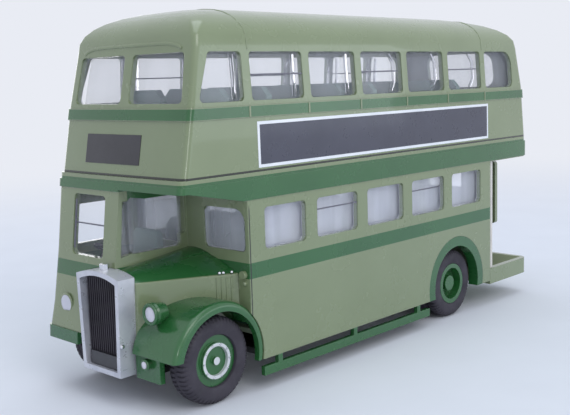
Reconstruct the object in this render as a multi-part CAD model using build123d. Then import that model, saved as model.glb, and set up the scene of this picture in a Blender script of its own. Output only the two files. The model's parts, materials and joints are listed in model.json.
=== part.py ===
from build123d import *
from math import cos, radians, sin
import os

# A die-cast scale model of a half-cab double-decker bus with an open rear platform.
# Millimetres at the model's own size: +X forward, +Y to the nearside (left), +Z up, ground at z = 0.

# Overall lengths and widths
LENGTH = 105.8
BODY_WIDTH = 31.5
FRONT_OVERHANG = 11.2
REAR_AXLE_AHEAD = 12.8
BONNET_LENGTH = 17.6
PLATFORM_LENGTH = 16.6

# Heights, each counted from the one below it
SKIRT_CLEARANCE = 5.2
LOWER_PANEL = 17.75
LOWER_GLASS = 6.7
CANTRAIL = 5.7
UPPER_PANEL = 11.05
UPPER_GLASS = 7.45
HEAD_RAIL = 0.7
ROOF_RISE = 6.4

# Wall, glass and fit
WALL = 1.0
ROOF_THICKNESS = 1.0
BAND_PROUD = 0.2
GLASS_LINING = 0.6
GLASS_RECESS = 0.2
FIT = 0.04

# Plan shape of the body
UPPER_BOW = 0.3
CAB_BOW = 0.2
REAR_BOW = 0.4
UPPER_CORNER_R = 1.0
CAB_CORNER_R = 1.2
REAR_CORNER_R = 2.0

# Roof dome: how far each end curves over, the flat strip left on top, fullness of the curve
ROOF_FRONT_CURVE = 12.0
ROOF_REAR_CURVE = 30.0
ROOF_FLAT = 3.0
ROOF_FULLNESS = 2.4
ROOF_CORNER_GROWTH = 5.0
ROOF_RINGS = 8
CEILING_RINGS = 2

# Raised bands: lower and upper edge, counted down from the sill or deck above
UPPER_BAND = (2.55, 0.7)
CANTRAIL_BAND = (4.2, 0.95)
FRONT_BAND = 2.3

# Windows
BAYS = 5
FIRST_PILLAR_BACK = 1.2
LAST_PILLAR_AHEAD = 2.4
UPPER_PILLAR = 1.7
LOWER_PILLAR = 2.8
UPPER_FRONT_QUARTER = 10.1
FRONT_QUARTER_LEAN = 2.6
UPPER_REAR_QUARTER = 11.75
LOWER_END_PILLAR = 2.7
WINDOW_R = 0.7
QUARTER_R = 2.4
REAR_QUARTER_RADII = (1.2, 0.7, 0.7, 3.0)
FRONT_PILLAR = 2.0
FRONT_CORNER_PILLAR = 2.25
FRONT_WINDOW_LEAN = 0.6
UPPER_REAR_CORNER = 7.05
LOWER_REAR_CORNER = 5.4
LOWER_REAR_INNER = 3.8

# Cab and bonnet bay
CAB_WALL_Y = 1.2
CAB_FLOOR = 16.6
CAB_SKIRT = 10.2
WINDSCREEN_OUTER = 5.0
WINDSCREEN_PILLAR = 3.4
WINDSCREEN_DROP = 0.6
WINDSCREEN_HEIGHT = 9.8
CAB_SIDE_FRONT = 2.6
CAB_SIDE_RISE = 1.9
CAB_SIDE_REAR = 1.4
BULKHEAD_PILLAR = 4.3
BULKHEAD_CORNER = 0.75
BULKHEAD_R = 2.2
CANOPY_RISE = 2.4
CANOPY_EDGE = 4.4

# Bonnet sections, from the bulkhead to the radiator
BONNET_TYRE_GAP = 0.5
BONNET_SIDE_FRONT = 5.6
BONNET_BOTTOM = 9.6
BONNET_SHOULDER = 19.3
BONNET_CROWN_REAR = 3.2
BONNET_CROWN_FRONT = 1.6
BONNET_ROUND = (0.72, 0.62)
LOUVRES = 4
LOUVRE_PITCH = 0.7
LOUVRE_WIDTH = 0.25
LOUVRE_DEPTH = 0.25
LOUVRE_BACK = 2.4
LOUVRE_HEIGHT = 5.6

# Radiator
RADIATOR_DEPTH = 3.15
RADIATOR_FOOT_HALF = 4.85
RADIATOR_TOP_HALF = 5.43
RADIATOR_FOOT = 5.0
RADIATOR_SHOULDER = 20.3
RADIATOR_CROWN = 0.9
RADIATOR_RIM = 0.8
RADIATOR_RECESS = 1.9
CORE_BACKING = 0.5
CORE_SLATS = 15
SLAT_WIDTH = 0.22
SLAT_DEPTH = 0.5
CAP_R = 0.75
CAP_HEIGHT = 0.9
PLATE_SIZE = (7.0, 2.2, 0.35)

# Wheels and axles
TYRE_R = 6.9
TYRE_INSET = 1.15
FRONT_TYRE_WIDTH = 4.0
REAR_TYRE_WIDTH = 5.6
TYRE_SHOULDER = 0.9
TWIN_GROOVE = 0.7
HUB_R = 4.1
HUB_DEPTH = 1.6
HUB_SET_IN = 0.2
HUB_RELIEF = 0.5
HUB_RING_R = 2.95
HUB_RING = 0.65
HUB_RIM = 0.9
HUB_END_R = 1.55
AXLE_R = 0.9
AXLE_RUN = 0.06
BEARING_R = 1.7
BEARING_SET_IN = 0.6

# Wings and wheel arches
WING_CLEARANCE = 1.0
WING_CROWN = 1.5
WING_THICKNESS = 1.1
WING_FRONT_REACH = 9.4
WING_FRONT_EDGE = 1.8
WING_ROLL = 0.9
WING_DEPTH = 2.2
LIP_HEIGHT = 2.0
REAR_ARCH_R = 9.9
FRONT_ARCH_R = 9.0

# Dumb-iron panel
DUMB_IRON_GAP = 0.6
DUMB_IRON_FRONT = 0.4

# Life rails along the skirts
RAIL_HEIGHT = 1.5
RAIL_THICKNESS = 0.8
RAIL_DROP = 1.3
RAIL_POST = 1.0
RAIL_POSTS = (0.08, 0.5, 0.92)

# Floors, platform and stairs
BASE_THICKNESS = 1.0
SHAFT_R = 0.8
GEARBOX_LENGTH = 9.0
GEARBOX_WIDTH = 6.0
GEARBOX_DROP = 1.6
AXLE_CASE_R = 2.0
TYRE_CLEARANCE = 0.7
FLOOR_THICKNESS = 0.9
SALOON_FLOOR = 9.9
PLATFORM_FLOOR = 7.9
PLATFORM_EDGE = 3.4
REAR_WALL_INSET = 9.95
TONGUE_WIDTH = 2.3
TONGUE_FOOT = 15.0
TONGUE_HEAD = 29.4
POLE_R = 0.5
POLE_BACK = 1.3
POLE_INSET = 0.8
STEP_COUNT = 8
STAIR_WIDTH = 9.0
BULKHEAD_STRIP = 6.5

# Seats
SEAT_PITCH = 9.2
GANGWAY = 5.2
SEAT_DEPTH = 4.6
SEAT_CUSHION = 4.2
UPPER_SEAT_BACK = 13.0
LOWER_SEAT_BACK = 15.4
CAB_SEAT_BACK = 10.6
SEAT_BACK_THICKNESS = 1.2
SEAT_SIDE_GAP = 0.6
SEAT_CORNER = 1.4
CAB_SEAT_GAP = 1.4

# Steering wheel
STEERING_R = 2.2
STEERING_RIM = 0.4
STEERING_TILT = 35
STEERING_BACK = 4.6
STEERING_DROP = 0.5

# Lamps
HEADLAMP_R = 1.75
HEADLAMP_LENGTH = 3.4
LAMP_BEZEL = 0.35
LAMP_STEM_R = 0.5
HEADLAMP_GAP = 3.8
HEADLAMP_Z = 15.2
CAB_LAMP_INSET = 4.7
CAB_LAMP_R = 1.4
CAB_LAMP_Z = 14.2
FOG_LAMP_R = 0.85
FOG_LAMP_INWARD = 0.9
FOG_LAMP_Z = 7.4
SIDE_LAMP_R = 0.65
SIDE_LAMP_INSET = 1.2
REAR_LAMP_R = 0.6

# Plinth screw holes under the base
SCREW_R = 1.0
SCREW_FROM_AXLE = 9.6
SCREW_BOSS_R = 2.2

# Places worked out from the sizes above
FRONT_X = LENGTH / 2
REAR_X = -LENGTH / 2
HALF = BODY_WIDTH / 2
REACH = LENGTH
FRONT_AXLE_X = FRONT_X - FRONT_OVERHANG
BULKHEAD_X = FRONT_X - BONNET_LENGTH
PLATFORM_X = REAR_X + PLATFORM_LENGTH
REAR_AXLE_X = PLATFORM_X + REAR_AXLE_AHEAD
RADIATOR_X = FRONT_X - RADIATOR_DEPTH
LOWER_SILL = SKIRT_CLEARANCE + LOWER_PANEL
LOWER_HEAD = LOWER_SILL + LOWER_GLASS
DECK_Z = LOWER_HEAD + CANTRAIL
UPPER_SILL = DECK_Z + UPPER_PANEL
UPPER_HEAD = UPPER_SILL + UPPER_GLASS
ROOF_BASE = UPPER_HEAD + HEAD_RAIL
UPPER_FLOOR_BOTTOM = DECK_Z - FLOOR_THICKNESS
WING_INNER_R = TYRE_R + WING_CLEARANCE
DUMB_IRON_X = FRONT_AXLE_X + TYRE_R + DUMB_IRON_GAP
FIRST_PILLAR = BULKHEAD_X - FIRST_PILLAR_BACK
BAY = (FIRST_PILLAR - PLATFORM_X - LAST_PILLAR_AHEAD) / BAYS
PILLARS = [FIRST_PILLAR - BAY * k for k in range(BAYS + 1)]
TYRE_FACE_Y = HALF - TYRE_INSET
BONNET_SIDE_REAR = TYRE_FACE_Y - FRONT_TYRE_WIDTH - BONNET_TYRE_GAP
BASE_HALF = TYRE_FACE_Y - REAR_TYRE_WIDTH - TYRE_CLEARANCE
REAR_WALL_EDGE_Y = HALF - REAR_WALL_INSET
HEADLAMP_Y = RADIATOR_TOP_HALF + HEADLAMP_GAP
CAB_LAMP_Y = CAB_LAMP_INSET - HALF

# Body sections: height, set-back of the front, set-back of the rear, narrowing of each side
LOWER_LEVELS = (
    (SKIRT_CLEARANCE, 0.3, 0.4, 0.0),
    (CAB_SKIRT, 0.6, 0.4, 0.0),
    (CAB_LAMP_Z, 1.55, 0.4, 0.0),
    (LOWER_SILL, 2.95, 0.4, 0.0),
    (DECK_Z, 4.5, 0.5, 0.0),
)
UPPER_LEVELS = (
    (DECK_Z, 4.95, 0.5, 0.0),
    (UPPER_SILL, 7.0, 1.8, 0.1),
    (ROOF_BASE, 8.7, 3.25, 0.7),
)
# Nose of each deck: bow of the front, radius of its corners
LOWER_NOSE = (CAB_BOW, CAB_CORNER_R)
UPPER_NOSE = (UPPER_BOW, UPPER_CORNER_R)


# Plain helpers
def slab(x0, x1, y0, y1, z0, z1):
    """A box between two corners."""
    return Pos((x0 + x1) / 2, (y0 + y1) / 2, (z0 + z1) / 2) * Box(x1 - x0, y1 - y0, z1 - z0)


def between(z0, z1):
    """Everything between two heights."""
    return slab(-REACH, REACH, -REACH, REACH, z0, z1)


def window(left, right, z0, z1, radii, lean=0.0, rise=0.0, pane=False):
    """Window outline with a radius for each corner: lower left, lower right, upper right, upper left.

    The right side leans in by lean and its upper corner is higher by rise. A pane's small corners are cut
    straight, inside the rounded ones.
    """
    shrink = FIT if pane else 0.0
    corners = (
        (left + shrink, z0 + shrink),
        (right - shrink, z0 + shrink),
        (right - lean - shrink, z1 + rise - shrink),
        (left + shrink, z1 - shrink),
    )
    face = make_face(Polyline(*corners, close=True))
    for corner, radius in zip(corners, radii):
        vertex = face.vertices().sort_by_distance((*corner, 0))[:1]
        cut_straight = pane and radius <= WINDOW_R
        face = chamfer(vertex, radius) if cut_straight else fillet(vertex, radius)
    return face


def across(face, y0=-REACH, y1=REACH):
    """A side-view outline extruded across the body, along Y."""
    return Pos(0, (y0 + y1) / 2, 0) * extrude(Plane.XZ * face, amount=(y1 - y0) / 2, both=True)


def along(face, x0, x1):
    """A front-view outline extruded along the body, along X."""
    return Pos((x0 + x1) / 2, 0, 0) * extrude(Plane.YZ * face, amount=(x1 - x0) / 2, both=True)


def rod_y(x, z, radius, y0, y1):
    """A round rod along Y."""
    return Pos(x, (y0 + y1) / 2, z) * Rot(X=90) * Cylinder(radius, y1 - y0)


def rod_x(y, z, radius, x0, x1):
    """A round rod along X."""
    return Pos((x0 + x1) / 2, y, z) * Rot(Y=90) * Cylinder(radius, x1 - x0)


def outline(z, front, rear, half, nose, growth=0.0):
    """Plan outline of the body: bowed ends, straight sides, rounded corners."""
    bow, corner_r = nose
    sides = [
        ThreePointArc((front - bow, half), (front, 0), (front - bow, -half)),
        Line((front - bow, -half), (rear + REAR_BOW, -half)),
        ThreePointArc((rear + REAR_BOW, -half), (rear, 0), (rear + REAR_BOW, half)),
        Line((rear + REAR_BOW, half), (front - bow, half)),
    ]
    face = make_face(sides)
    front_r = min(corner_r + growth, 0.7 * half)
    rear_r = min(REAR_CORNER_R + growth, 0.7 * half)
    face = fillet(face.vertices().group_by(Axis.X)[-1], front_r)
    face = fillet(face.vertices().group_by(Axis.X)[0], rear_r)
    return Pos(0, 0, z) * face


def block(levels, nose, inset=0.0):
    """Solid body between levels, every wall moved inward by the inset."""
    sections = [
        outline(z, FRONT_X - front - inset, REAR_X + rear + inset, HALF - narrow - inset, nose)
        for z, front, rear, narrow in levels
    ]
    return loft(sections, ruled=True)


def lower_block(inset=0.0):
    return block(LOWER_LEVELS, LOWER_NOSE, inset)


def upper_block(inset=0.0):
    return block(UPPER_LEVELS, UPPER_NOSE, inset)


def dome(rings, inset=0.0, drop=0.0):
    """Domed roof above the upper windows, in rings that turn from upright to flat."""
    z, front, rear, narrow = UPPER_LEVELS[-1]
    half = HALF - narrow
    power = 2 / ROOF_FULLNESS
    sections = []
    for ring in range(rings + 1):
        turn = radians(90 * ring / rings)
        up = sin(turn) ** power
        back = 1 - cos(turn) ** power
        sections.append(
            outline(
                z + up * (ROOF_RISE - drop),
                FRONT_X - front - back * ROOF_FRONT_CURVE - inset,
                REAR_X + rear + back * ROOF_REAR_CURVE + inset,
                half - back * (half - ROOF_FLAT) - inset,
                UPPER_NOSE,
                back * ROOF_CORNER_GROWTH,
            )
        )
    return loft(sections, ruled=True)


# Windows
def upper_windows(pane=False):
    """Prisms of every upper-deck window: the bays, a quarter light at each end, front and rear."""
    small = 4 * (WINDOW_R,)
    z0 = UPPER_SILL
    z1 = UPPER_HEAD
    gap = UPPER_PILLAR / 2
    front_x = PILLARS[0] + UPPER_FRONT_QUARTER
    rear_x = PILLARS[-1] - UPPER_REAR_QUARTER
    prisms = [
        across(window(PILLARS[0] + gap, front_x, z0, z1, small, lean=FRONT_QUARTER_LEAN, pane=pane)),
        across(window(rear_x, PILLARS[-1] - gap, z0, z1, REAR_QUARTER_RADII, pane=pane)),
    ]
    for ahead, behind in zip(PILLARS[:-1], PILLARS[1:]):
        prisms.append(across(window(behind + gap, ahead - gap, z0, z1, small, pane=pane)))
    outer = HALF - FRONT_CORNER_PILLAR
    face = window(FRONT_PILLAR / 2, outer, z0, z1, small, lean=FRONT_WINDOW_LEAN, pane=pane)
    prism = along(face, PILLARS[0] + UPPER_FRONT_QUARTER - FRONT_QUARTER_LEAN - WALL, REACH)
    prisms += [prism, mirror(prism, Plane.XZ)]
    half = HALF - UPPER_REAR_CORNER
    face = window(-half, half, z0, z1, 4 * (QUARTER_R,), pane=pane)
    prisms.append(along(face, -REACH, rear_x + WALL))
    return prisms


def saloon_windows(pane=False):
    """Prisms of the lower bays on both sides."""
    prisms = []
    for ahead, behind in zip(PILLARS[:-1], PILLARS[1:]):
        front = min(ahead - LOWER_PILLAR / 2, BULKHEAD_X - WALL - LOWER_END_PILLAR)
        rear = max(behind + LOWER_PILLAR / 2, PLATFORM_X + WALL + LOWER_END_PILLAR)
        prisms.append(across(window(rear, front, LOWER_SILL, LOWER_HEAD, 4 * (WINDOW_R,), pane=pane)))
    return prisms


def rear_window():
    """Prism of the window in the lower rear wall."""
    y0 = LOWER_REAR_CORNER - HALF
    face = window(y0, REAR_WALL_EDGE_Y - LOWER_REAR_INNER, LOWER_SILL, LOWER_HEAD, 4 * (WINDOW_R,))
    return along(face, -REACH, PLATFORM_X - PLATFORM_LENGTH / 2)


def bulkhead_window(pane=False):
    """Prism of the saloon's window over the bonnet."""
    radii = (WINDOW_R, WINDOW_R, BULKHEAD_R, WINDOW_R)
    y0 = CAB_WALL_Y + BULKHEAD_PILLAR
    face = window(y0, HALF - BULKHEAD_CORNER, LOWER_SILL, LOWER_HEAD, radii, pane=pane)
    return along(face, BULKHEAD_X - 2 * WALL, BULKHEAD_X + WALL)


def cab_windows(pane=False):
    """Prisms of the windscreen and the cab's two side windows."""
    small = 4 * (WINDOW_R,)
    sill = LOWER_SILL - WINDSCREEN_DROP
    x0 = BULKHEAD_X + CAB_SIDE_REAR
    x1 = RADIATOR_X - CAB_SIDE_FRONT
    y0 = WINDSCREEN_OUTER - HALF
    screen = window(y0, CAB_WALL_Y - WINDSCREEN_PILLAR, sill, sill + WINDSCREEN_HEIGHT, small, pane=pane)
    offside = window(x0, x1, LOWER_SILL, LOWER_HEAD, small, pane=pane)
    nearside = window(x0, x1, LOWER_SILL, LOWER_HEAD + WALL / 2, small, rise=CAB_SIDE_RISE, pane=pane)
    return [
        along(screen, x1, REACH),
        across(offside, -REACH, 0),
        across(nearside, CAB_WALL_Y - WALL - FIT, REACH),
    ]


# Upper deck: walls, domed roof and the raised waist band
def upper_deck_casting():
    low, high = UPPER_BAND
    band = upper_block(-BAND_PROUD) & between(UPPER_SILL - low, UPPER_SILL - high)
    shell = upper_block() + dome(ROOF_RINGS) + band
    shell -= upper_block(WALL) + dome(CEILING_RINGS, WALL, ROOF_THICKNESS)
    for prism in upper_windows():
        shell -= prism
    return shell


def upper_glazing():
    """Clear moulding: a lining behind the walls, with a pane that fills each window."""
    panes = upper_block(GLASS_RECESS) & (Part() + upper_windows(pane=True))
    lining = upper_block(WALL + FIT) & between(UPPER_SILL - WALL, UPPER_HEAD - FIT)
    return panes + lining - upper_block(WALL + FIT + GLASS_LINING)


# Lower deck: saloon, cab and rear wall
def canopy_cut():
    """Open bay over the bonnet, below the canopy's rising edge."""
    rear_z = DECK_Z - CANOPY_EDGE
    corners = (
        (BULKHEAD_X, -REACH),
        (BULKHEAD_X, rear_z),
        (RADIATOR_X - CAB_SIDE_FRONT, rear_z + CANOPY_RISE),
        (REACH, rear_z + CANOPY_RISE),
        (REACH, -REACH),
    )
    return across(make_face(Polyline(*corners, close=True)), CAB_WALL_Y, REACH)


def platform_opening():
    """Open corner over the platform, round the tongue on the rear wall's edge."""
    opening = slab(-REACH, PLATFORM_X, REAR_WALL_EDGE_Y, REACH, -REACH, DECK_Z - CANOPY_EDGE)
    y0 = REAR_WALL_EDGE_Y - WALL
    y1 = REAR_WALL_EDGE_Y + TONGUE_WIDTH
    tongue = window(y0, y1, TONGUE_FOOT, TONGUE_HEAD, 4 * (WINDOW_R,))
    return opening - along(tongue, -REACH, PLATFORM_X - PLATFORM_LENGTH / 2)


def radiator_block(x0, x1, grow=0.0):
    """Radiator outline, seen from the front, extruded between two stations."""
    foot = RADIATOR_FOOT_HALF + grow
    top = RADIATOR_TOP_HALF + grow
    z0 = RADIATOR_FOOT - grow
    z1 = RADIATOR_SHOULDER + grow
    edges = [
        Line((-foot, z0), (foot, z0)),
        Line((foot, z0), (top, z1)),
        ThreePointArc((top, z1), (0, z1 + RADIATOR_CROWN), (-top, z1)),
        Line((-top, z1), (-foot, z0)),
    ]
    return along(make_face(edges), x0, x1)


def lower_deck_body():
    """Saloon, cab and rear wall in one, before the rear is split off at the platform."""
    low, high = CANTRAIL_BAND
    solid = lower_block() + (lower_block(-BAND_PROUD) & between(DECK_Z - low, DECK_Z - high))
    nose_x = RADIATOR_X - CAB_SIDE_FRONT
    solid -= slab(nose_x, REACH, -REACH, REACH, DECK_Z - low, DECK_Z - FRONT_BAND) - lower_block()
    inside = lower_block(WALL)
    saloon = inside & slab(-REACH, BULKHEAD_X - WALL, -REACH, REACH, -REACH, REACH)
    strip = slab(PLATFORM_X, PLATFORM_X + WALL, HALF - BULKHEAD_STRIP, HALF, 0, UPPER_FLOOR_BOTTOM)
    cab_y = CAB_WALL_Y - WALL
    dash_z = LOWER_SILL - WINDSCREEN_DROP - WALL
    dash = slab(RADIATOR_X - WALL, REACH, -RADIATOR_TOP_HALF - WALL, REACH, 0, dash_z)
    cab = inside & slab(BULKHEAD_X, REACH, -REACH, cab_y, CAB_FLOOR, REACH)
    bay = inside & slab(BULKHEAD_X, REACH, CAB_WALL_Y, REACH, -REACH, REACH)
    wheel_well = inside & slab(BULKHEAD_X, REACH, -REACH, cab_y, -REACH, CAB_FLOOR - WALL)
    solid -= (saloon - strip) + (cab - dash) + bay + (wheel_well - dash)
    solid -= canopy_cut()
    solid -= inside & slab(BULKHEAD_X - WALL, REACH, -REACH, REACH, UPPER_FLOOR_BOTTOM, REACH)
    solid -= slab(BULKHEAD_X, REACH, -REACH, REACH, -REACH, CAB_SKIRT)
    solid -= radiator_block(RADIATOR_X, FRONT_X + WALL, FIT)
    solid -= rod_y(FRONT_AXLE_X, TYRE_R, FRONT_ARCH_R, -REACH, REACH)
    solid -= rod_y(REAR_AXLE_X, TYRE_R, REAR_ARCH_R, -REACH, REACH)
    solid -= platform_opening()
    solid -= slab(-REACH, PLATFORM_X, -REACH, REACH, -REACH, PLATFORM_FLOOR)
    for prism in saloon_windows() + cab_windows() + [rear_window(), bulkhead_window()]:
        solid -= prism
    return solid


def lower_glazing():
    """Clear moulding of the saloon, with its panes and the pane over the bonnet."""
    panes = lower_block(GLASS_RECESS) & (Part() + saloon_windows(pane=True))
    front = BULKHEAD_X - WALL - FIT
    rear = PLATFORM_X + WALL + FIT
    lining = lower_block(WALL + FIT) & slab(rear, front, -REACH, REACH, LOWER_SILL - WALL, LOWER_HEAD + WALL)
    inner = lower_block(WALL + FIT + GLASS_LINING)
    inner &= slab(-REACH, front - GLASS_LINING, -REACH, REACH, -REACH, REACH)
    front_pane = bulkhead_window(pane=True)
    front_pane &= slab(front - GLASS_LINING, BULKHEAD_X - GLASS_RECESS, -HALF, HALF - WALL - FIT, 0, REACH)
    return panes + lining - inner + front_pane


def cab_glazing():
    """Clear moulding of the cab: windscreen and side windows."""
    y1 = CAB_WALL_Y - WALL - FIT
    panes = lower_block(GLASS_RECESS) & slab(BULKHEAD_X, REACH, -REACH, CAB_WALL_Y - GLASS_RECESS, 0, REACH)
    panes &= Part() + cab_windows(pane=True)
    lining = lower_block(WALL + FIT) & between(LOWER_SILL - WINDSCREEN_DROP, LOWER_HEAD + WALL)
    lining &= slab(BULKHEAD_X + FIT, REACH, -REACH, y1, 0, REACH)
    inner = lower_block(WALL + FIT + GLASS_LINING)
    inner &= slab(-REACH, REACH, -REACH, y1 - GLASS_LINING, -REACH, REACH)
    return panes + lining - inner


# Floors, stairs and seats
def stair_box():
    """Plan of the stair well at the offside rear: x0, x1, y0, y1."""
    x0 = REAR_X + 2 * WALL + REAR_BOW + REAR_CORNER_R
    return x0, PLATFORM_X, -HALF + WALL + FIT, -HALF + WALL + FIT + STAIR_WIDTH


def upper_deck_floor():
    plate = lower_block(WALL + FIT) & between(UPPER_FLOOR_BOTTOM, DECK_Z)
    x0, x1, y0, y1 = stair_box()
    return plate - slab(x0, x1, y0 + FLOOR_THICKNESS, y1, 0, REACH)


def wheel_box(side, grow, outer):
    """Box over a rear wheel inside the saloon, out to a given half width."""
    y0, y1 = sorted((side * (TYRE_FACE_Y - REAR_TYRE_WIDTH - WALL - grow), side * outer))
    reach = REAR_ARCH_R - WALL + grow
    top = TYRE_R + WING_INNER_R + grow
    return slab(REAR_AXLE_X - reach, REAR_AXLE_X + reach, y0, y1, 0, top)


def lower_deck_floor():
    z0 = SALOON_FLOOR - FLOOR_THICKNESS
    floor = lower_block(WALL + FIT) & between(z0, SALOON_FLOOR)
    floor &= slab(PLATFORM_X + WALL + FIT, BULKHEAD_X - WALL - FIT, -REACH, REACH, 0, REACH)
    wing_y = HALF - WING_DEPTH - FIT
    for side in (1, -1):
        floor += wheel_box(side, FLOOR_THICKNESS, wing_y) - between(0, z0)
        floor -= wheel_box(side, 0, HALF)
        y0, y1 = sorted((side * wing_y, side * HALF))
        floor -= rod_y(REAR_AXLE_X, TYRE_R, REAR_ARCH_R, y0, y1)
    floor -= rod_y(FRONT_AXLE_X, TYRE_R, FRONT_ARCH_R, -REACH, REACH)
    return floor


def rear_platform():
    """Open boarding platform across the rear, hollow below."""
    z0 = PLATFORM_FLOOR - PLATFORM_EDGE
    plate = extrude(outline(z0, FRONT_X, REAR_X, HALF, LOWER_NOSE), amount=PLATFORM_EDGE)
    plate &= slab(-REACH, PLATFORM_X - FIT, -REACH, REACH, 0, REACH)
    x1 = PLATFORM_X - WALL
    return plate - slab(
        REAR_X + REAR_CORNER_R, x1, WALL - HALF, HALF - WALL, z0, PLATFORM_FLOOR - FLOOR_THICKNESS
    )


def staircase():
    x0, x1, y0, y1 = stair_box()
    going = (x1 - x0) / STEP_COUNT
    rise = (UPPER_FLOOR_BOTTOM - PLATFORM_FLOOR) / STEP_COUNT
    stairs = Part()
    for step in range(STEP_COUNT):
        z0 = PLATFORM_FLOOR + max(step - 1, 0) * rise
        z1 = PLATFORM_FLOOR + (step + 1) * rise
        stairs += slab(x0 + step * going, x0 + (step + 1) * going, y0, y1, z0, z1)
    return stairs


def seat(x, y0, y1, floor_z, height):
    """A bench seat facing forward, its back leaning a little, its top corners cut off."""
    back = SEAT_BACK_THICKNESS
    lean = back / 2
    corners = (
        (x, floor_z),
        (x, floor_z + SEAT_CUSHION),
        (x - SEAT_DEPTH + back, floor_z + SEAT_CUSHION),
        (x - SEAT_DEPTH + back - lean, floor_z + height),
        (x - SEAT_DEPTH - lean, floor_z + height),
        (x - SEAT_DEPTH, floor_z),
    )
    bench = across(make_face(Polyline(*corners, close=True)), y0, y1)
    tops = bench.edges().filter_by(Axis.X).group_by(Axis.Z)[-1]
    return chamfer(tops, SEAT_CORNER)


def seat_rows(first_x, last_x, floor_z, half, height):
    """Pairs of seats either side of the gangway, at an even pitch."""
    rows = []
    x = first_x
    while x - SEAT_DEPTH - SEAT_BACK_THICKNESS > last_x:
        rows.append(seat(x, GANGWAY / 2, half, floor_z, height))
        rows.append(seat(x, -half, -GANGWAY / 2, floor_z, height))
        x -= SEAT_PITCH
    return Compound(rows)


def upper_seats():
    half = HALF - UPPER_LEVELS[-1][3] - WALL - GLASS_LINING - SEAT_SIDE_GAP
    first = PILLARS[0] + UPPER_FRONT_QUARTER - FRONT_QUARTER_LEAN - SEAT_BACK_THICKNESS
    return seat_rows(first, stair_box()[1], DECK_Z, half, UPPER_SEAT_BACK)


def lower_seats():
    half = HALF - WALL - GLASS_LINING - SEAT_SIDE_GAP
    front_box = FRONT_AXLE_X - FRONT_ARCH_R - WALL
    rear_box = REAR_AXLE_X + REAR_ARCH_R + FLOOR_THICKNESS
    return seat_rows(front_box, rear_box, SALOON_FLOOR, half, LOWER_SEAT_BACK)


def cab_seat_sides():
    """Offside and nearside edge of the driver's seat."""
    return WALL + GLASS_LINING + CAB_SEAT_GAP - HALF, CAB_WALL_Y - WALL - GLASS_LINING - 2 * CAB_SEAT_GAP


def cab_seat():
    y0, y1 = cab_seat_sides()
    return seat(BULKHEAD_X + SEAT_DEPTH + SEAT_BACK_THICKNESS, y0, y1, CAB_FLOOR, CAB_SEAT_BACK)


def steering_wheel():
    y0, y1 = cab_seat_sides()
    x = RADIATOR_X - STEERING_BACK
    place = Pos(x, (y0 + y1) / 2, LOWER_SILL - STEERING_DROP) * Rot(Y=-STEERING_TILT)
    rim = Cylinder(STEERING_R, STEERING_RIM) - Cylinder(STEERING_R - STEERING_RIM, STEERING_RIM)
    span = 2 * STEERING_R - STEERING_RIM
    wheel = place * (rim + Box(span, STEERING_RIM, STEERING_RIM) + Box(STEERING_RIM, span, STEERING_RIM))
    length = LOWER_SILL - CAB_FLOOR
    column = place * Pos(0, 0, -length / 2) * Cylinder(STEERING_RIM, length)
    return wheel + (column & between(CAB_FLOOR, REACH))


def platform_pole():
    x = PLATFORM_X - POLE_BACK
    y = HALF - POLE_INSET
    top = DECK_Z - CANOPY_EDGE
    return Pos(x, y, (PLATFORM_FLOOR + top) / 2) * Cylinder(POLE_R, top - PLATFORM_FLOOR)


# Chassis base with axle bearings, shaft and plinth screw bosses
def chassis_base():
    z0 = SKIRT_CLEARANCE
    z1 = SKIRT_CLEARANCE + BASE_THICKNESS
    base = slab(PLATFORM_X + WALL + FIT, DUMB_IRON_X, -BASE_HALF, BASE_HALF, z0, z1)
    middle_front = FRONT_AXLE_X - FRONT_ARCH_R - WALL
    middle_rear = REAR_AXLE_X + REAR_ARCH_R + WALL
    base += slab(middle_rear, middle_front, WALL - HALF + FIT, HALF - WALL - FIT, z0, z1)
    base += rod_x(0, z0, SHAFT_R, REAR_AXLE_X + SCREW_FROM_AXLE + SCREW_BOSS_R, middle_front - GEARBOX_LENGTH)
    gearbox_y = GEARBOX_WIDTH / 2
    base += slab(middle_front - GEARBOX_LENGTH, middle_front - SCREW_BOSS_R, -gearbox_y, gearbox_y, z0 - GEARBOX_DROP, z0)
    base += rod_x(0, TYRE_R, AXLE_CASE_R, REAR_AXLE_X - AXLE_CASE_R, REAR_AXLE_X + AXLE_CASE_R)
    bearing = BASE_HALF - BEARING_SET_IN
    for x in (FRONT_AXLE_X, REAR_AXLE_X):
        base += rod_y(x, TYRE_R, BEARING_R, -bearing, bearing)
        base -= rod_y(x, TYRE_R, AXLE_R + AXLE_RUN, -HALF, HALF)
    top = SALOON_FLOOR - FLOOR_THICKNESS
    for x in (FRONT_AXLE_X - SCREW_FROM_AXLE, REAR_AXLE_X + SCREW_FROM_AXLE):
        base += Pos(x, 0, (z0 + top) / 2) * Cylinder(SCREW_BOSS_R, top - z0)
        base -= Pos(x, 0, (z0 + top) / 2) * Cylinder(SCREW_R, top - z0)
    return base


# Bonnet and radiator
def bonnet_section(x, side, crown):
    """Half bonnet section beside the cab: flat side, rounded shoulder."""
    y0 = CAB_WALL_Y + FIT
    mid = (y0 + BONNET_ROUND[0] * (side - y0), BONNET_SHOULDER + BONNET_ROUND[1] * crown)
    edges = [
        Line((y0, BONNET_BOTTOM), (side, BONNET_BOTTOM)),
        Line((side, BONNET_BOTTOM), (side, BONNET_SHOULDER)),
        ThreePointArc((side, BONNET_SHOULDER), mid, (y0, BONNET_SHOULDER + crown)),
        Line((y0, BONNET_SHOULDER + crown), (y0, BONNET_BOTTOM)),
    ]
    return Pos(x, 0, 0) * (Plane.YZ * make_face(edges))


def bonnet_solid(grow=0.0):
    """Bonnet between the bulkhead and the radiator, its side moved out by grow."""
    rear = bonnet_section(BULKHEAD_X, BONNET_SIDE_REAR + grow, BONNET_CROWN_REAR)
    front = bonnet_section(RADIATOR_X, BONNET_SIDE_FRONT + grow, BONNET_CROWN_FRONT)
    return loft([rear, front], ruled=True)


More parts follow.
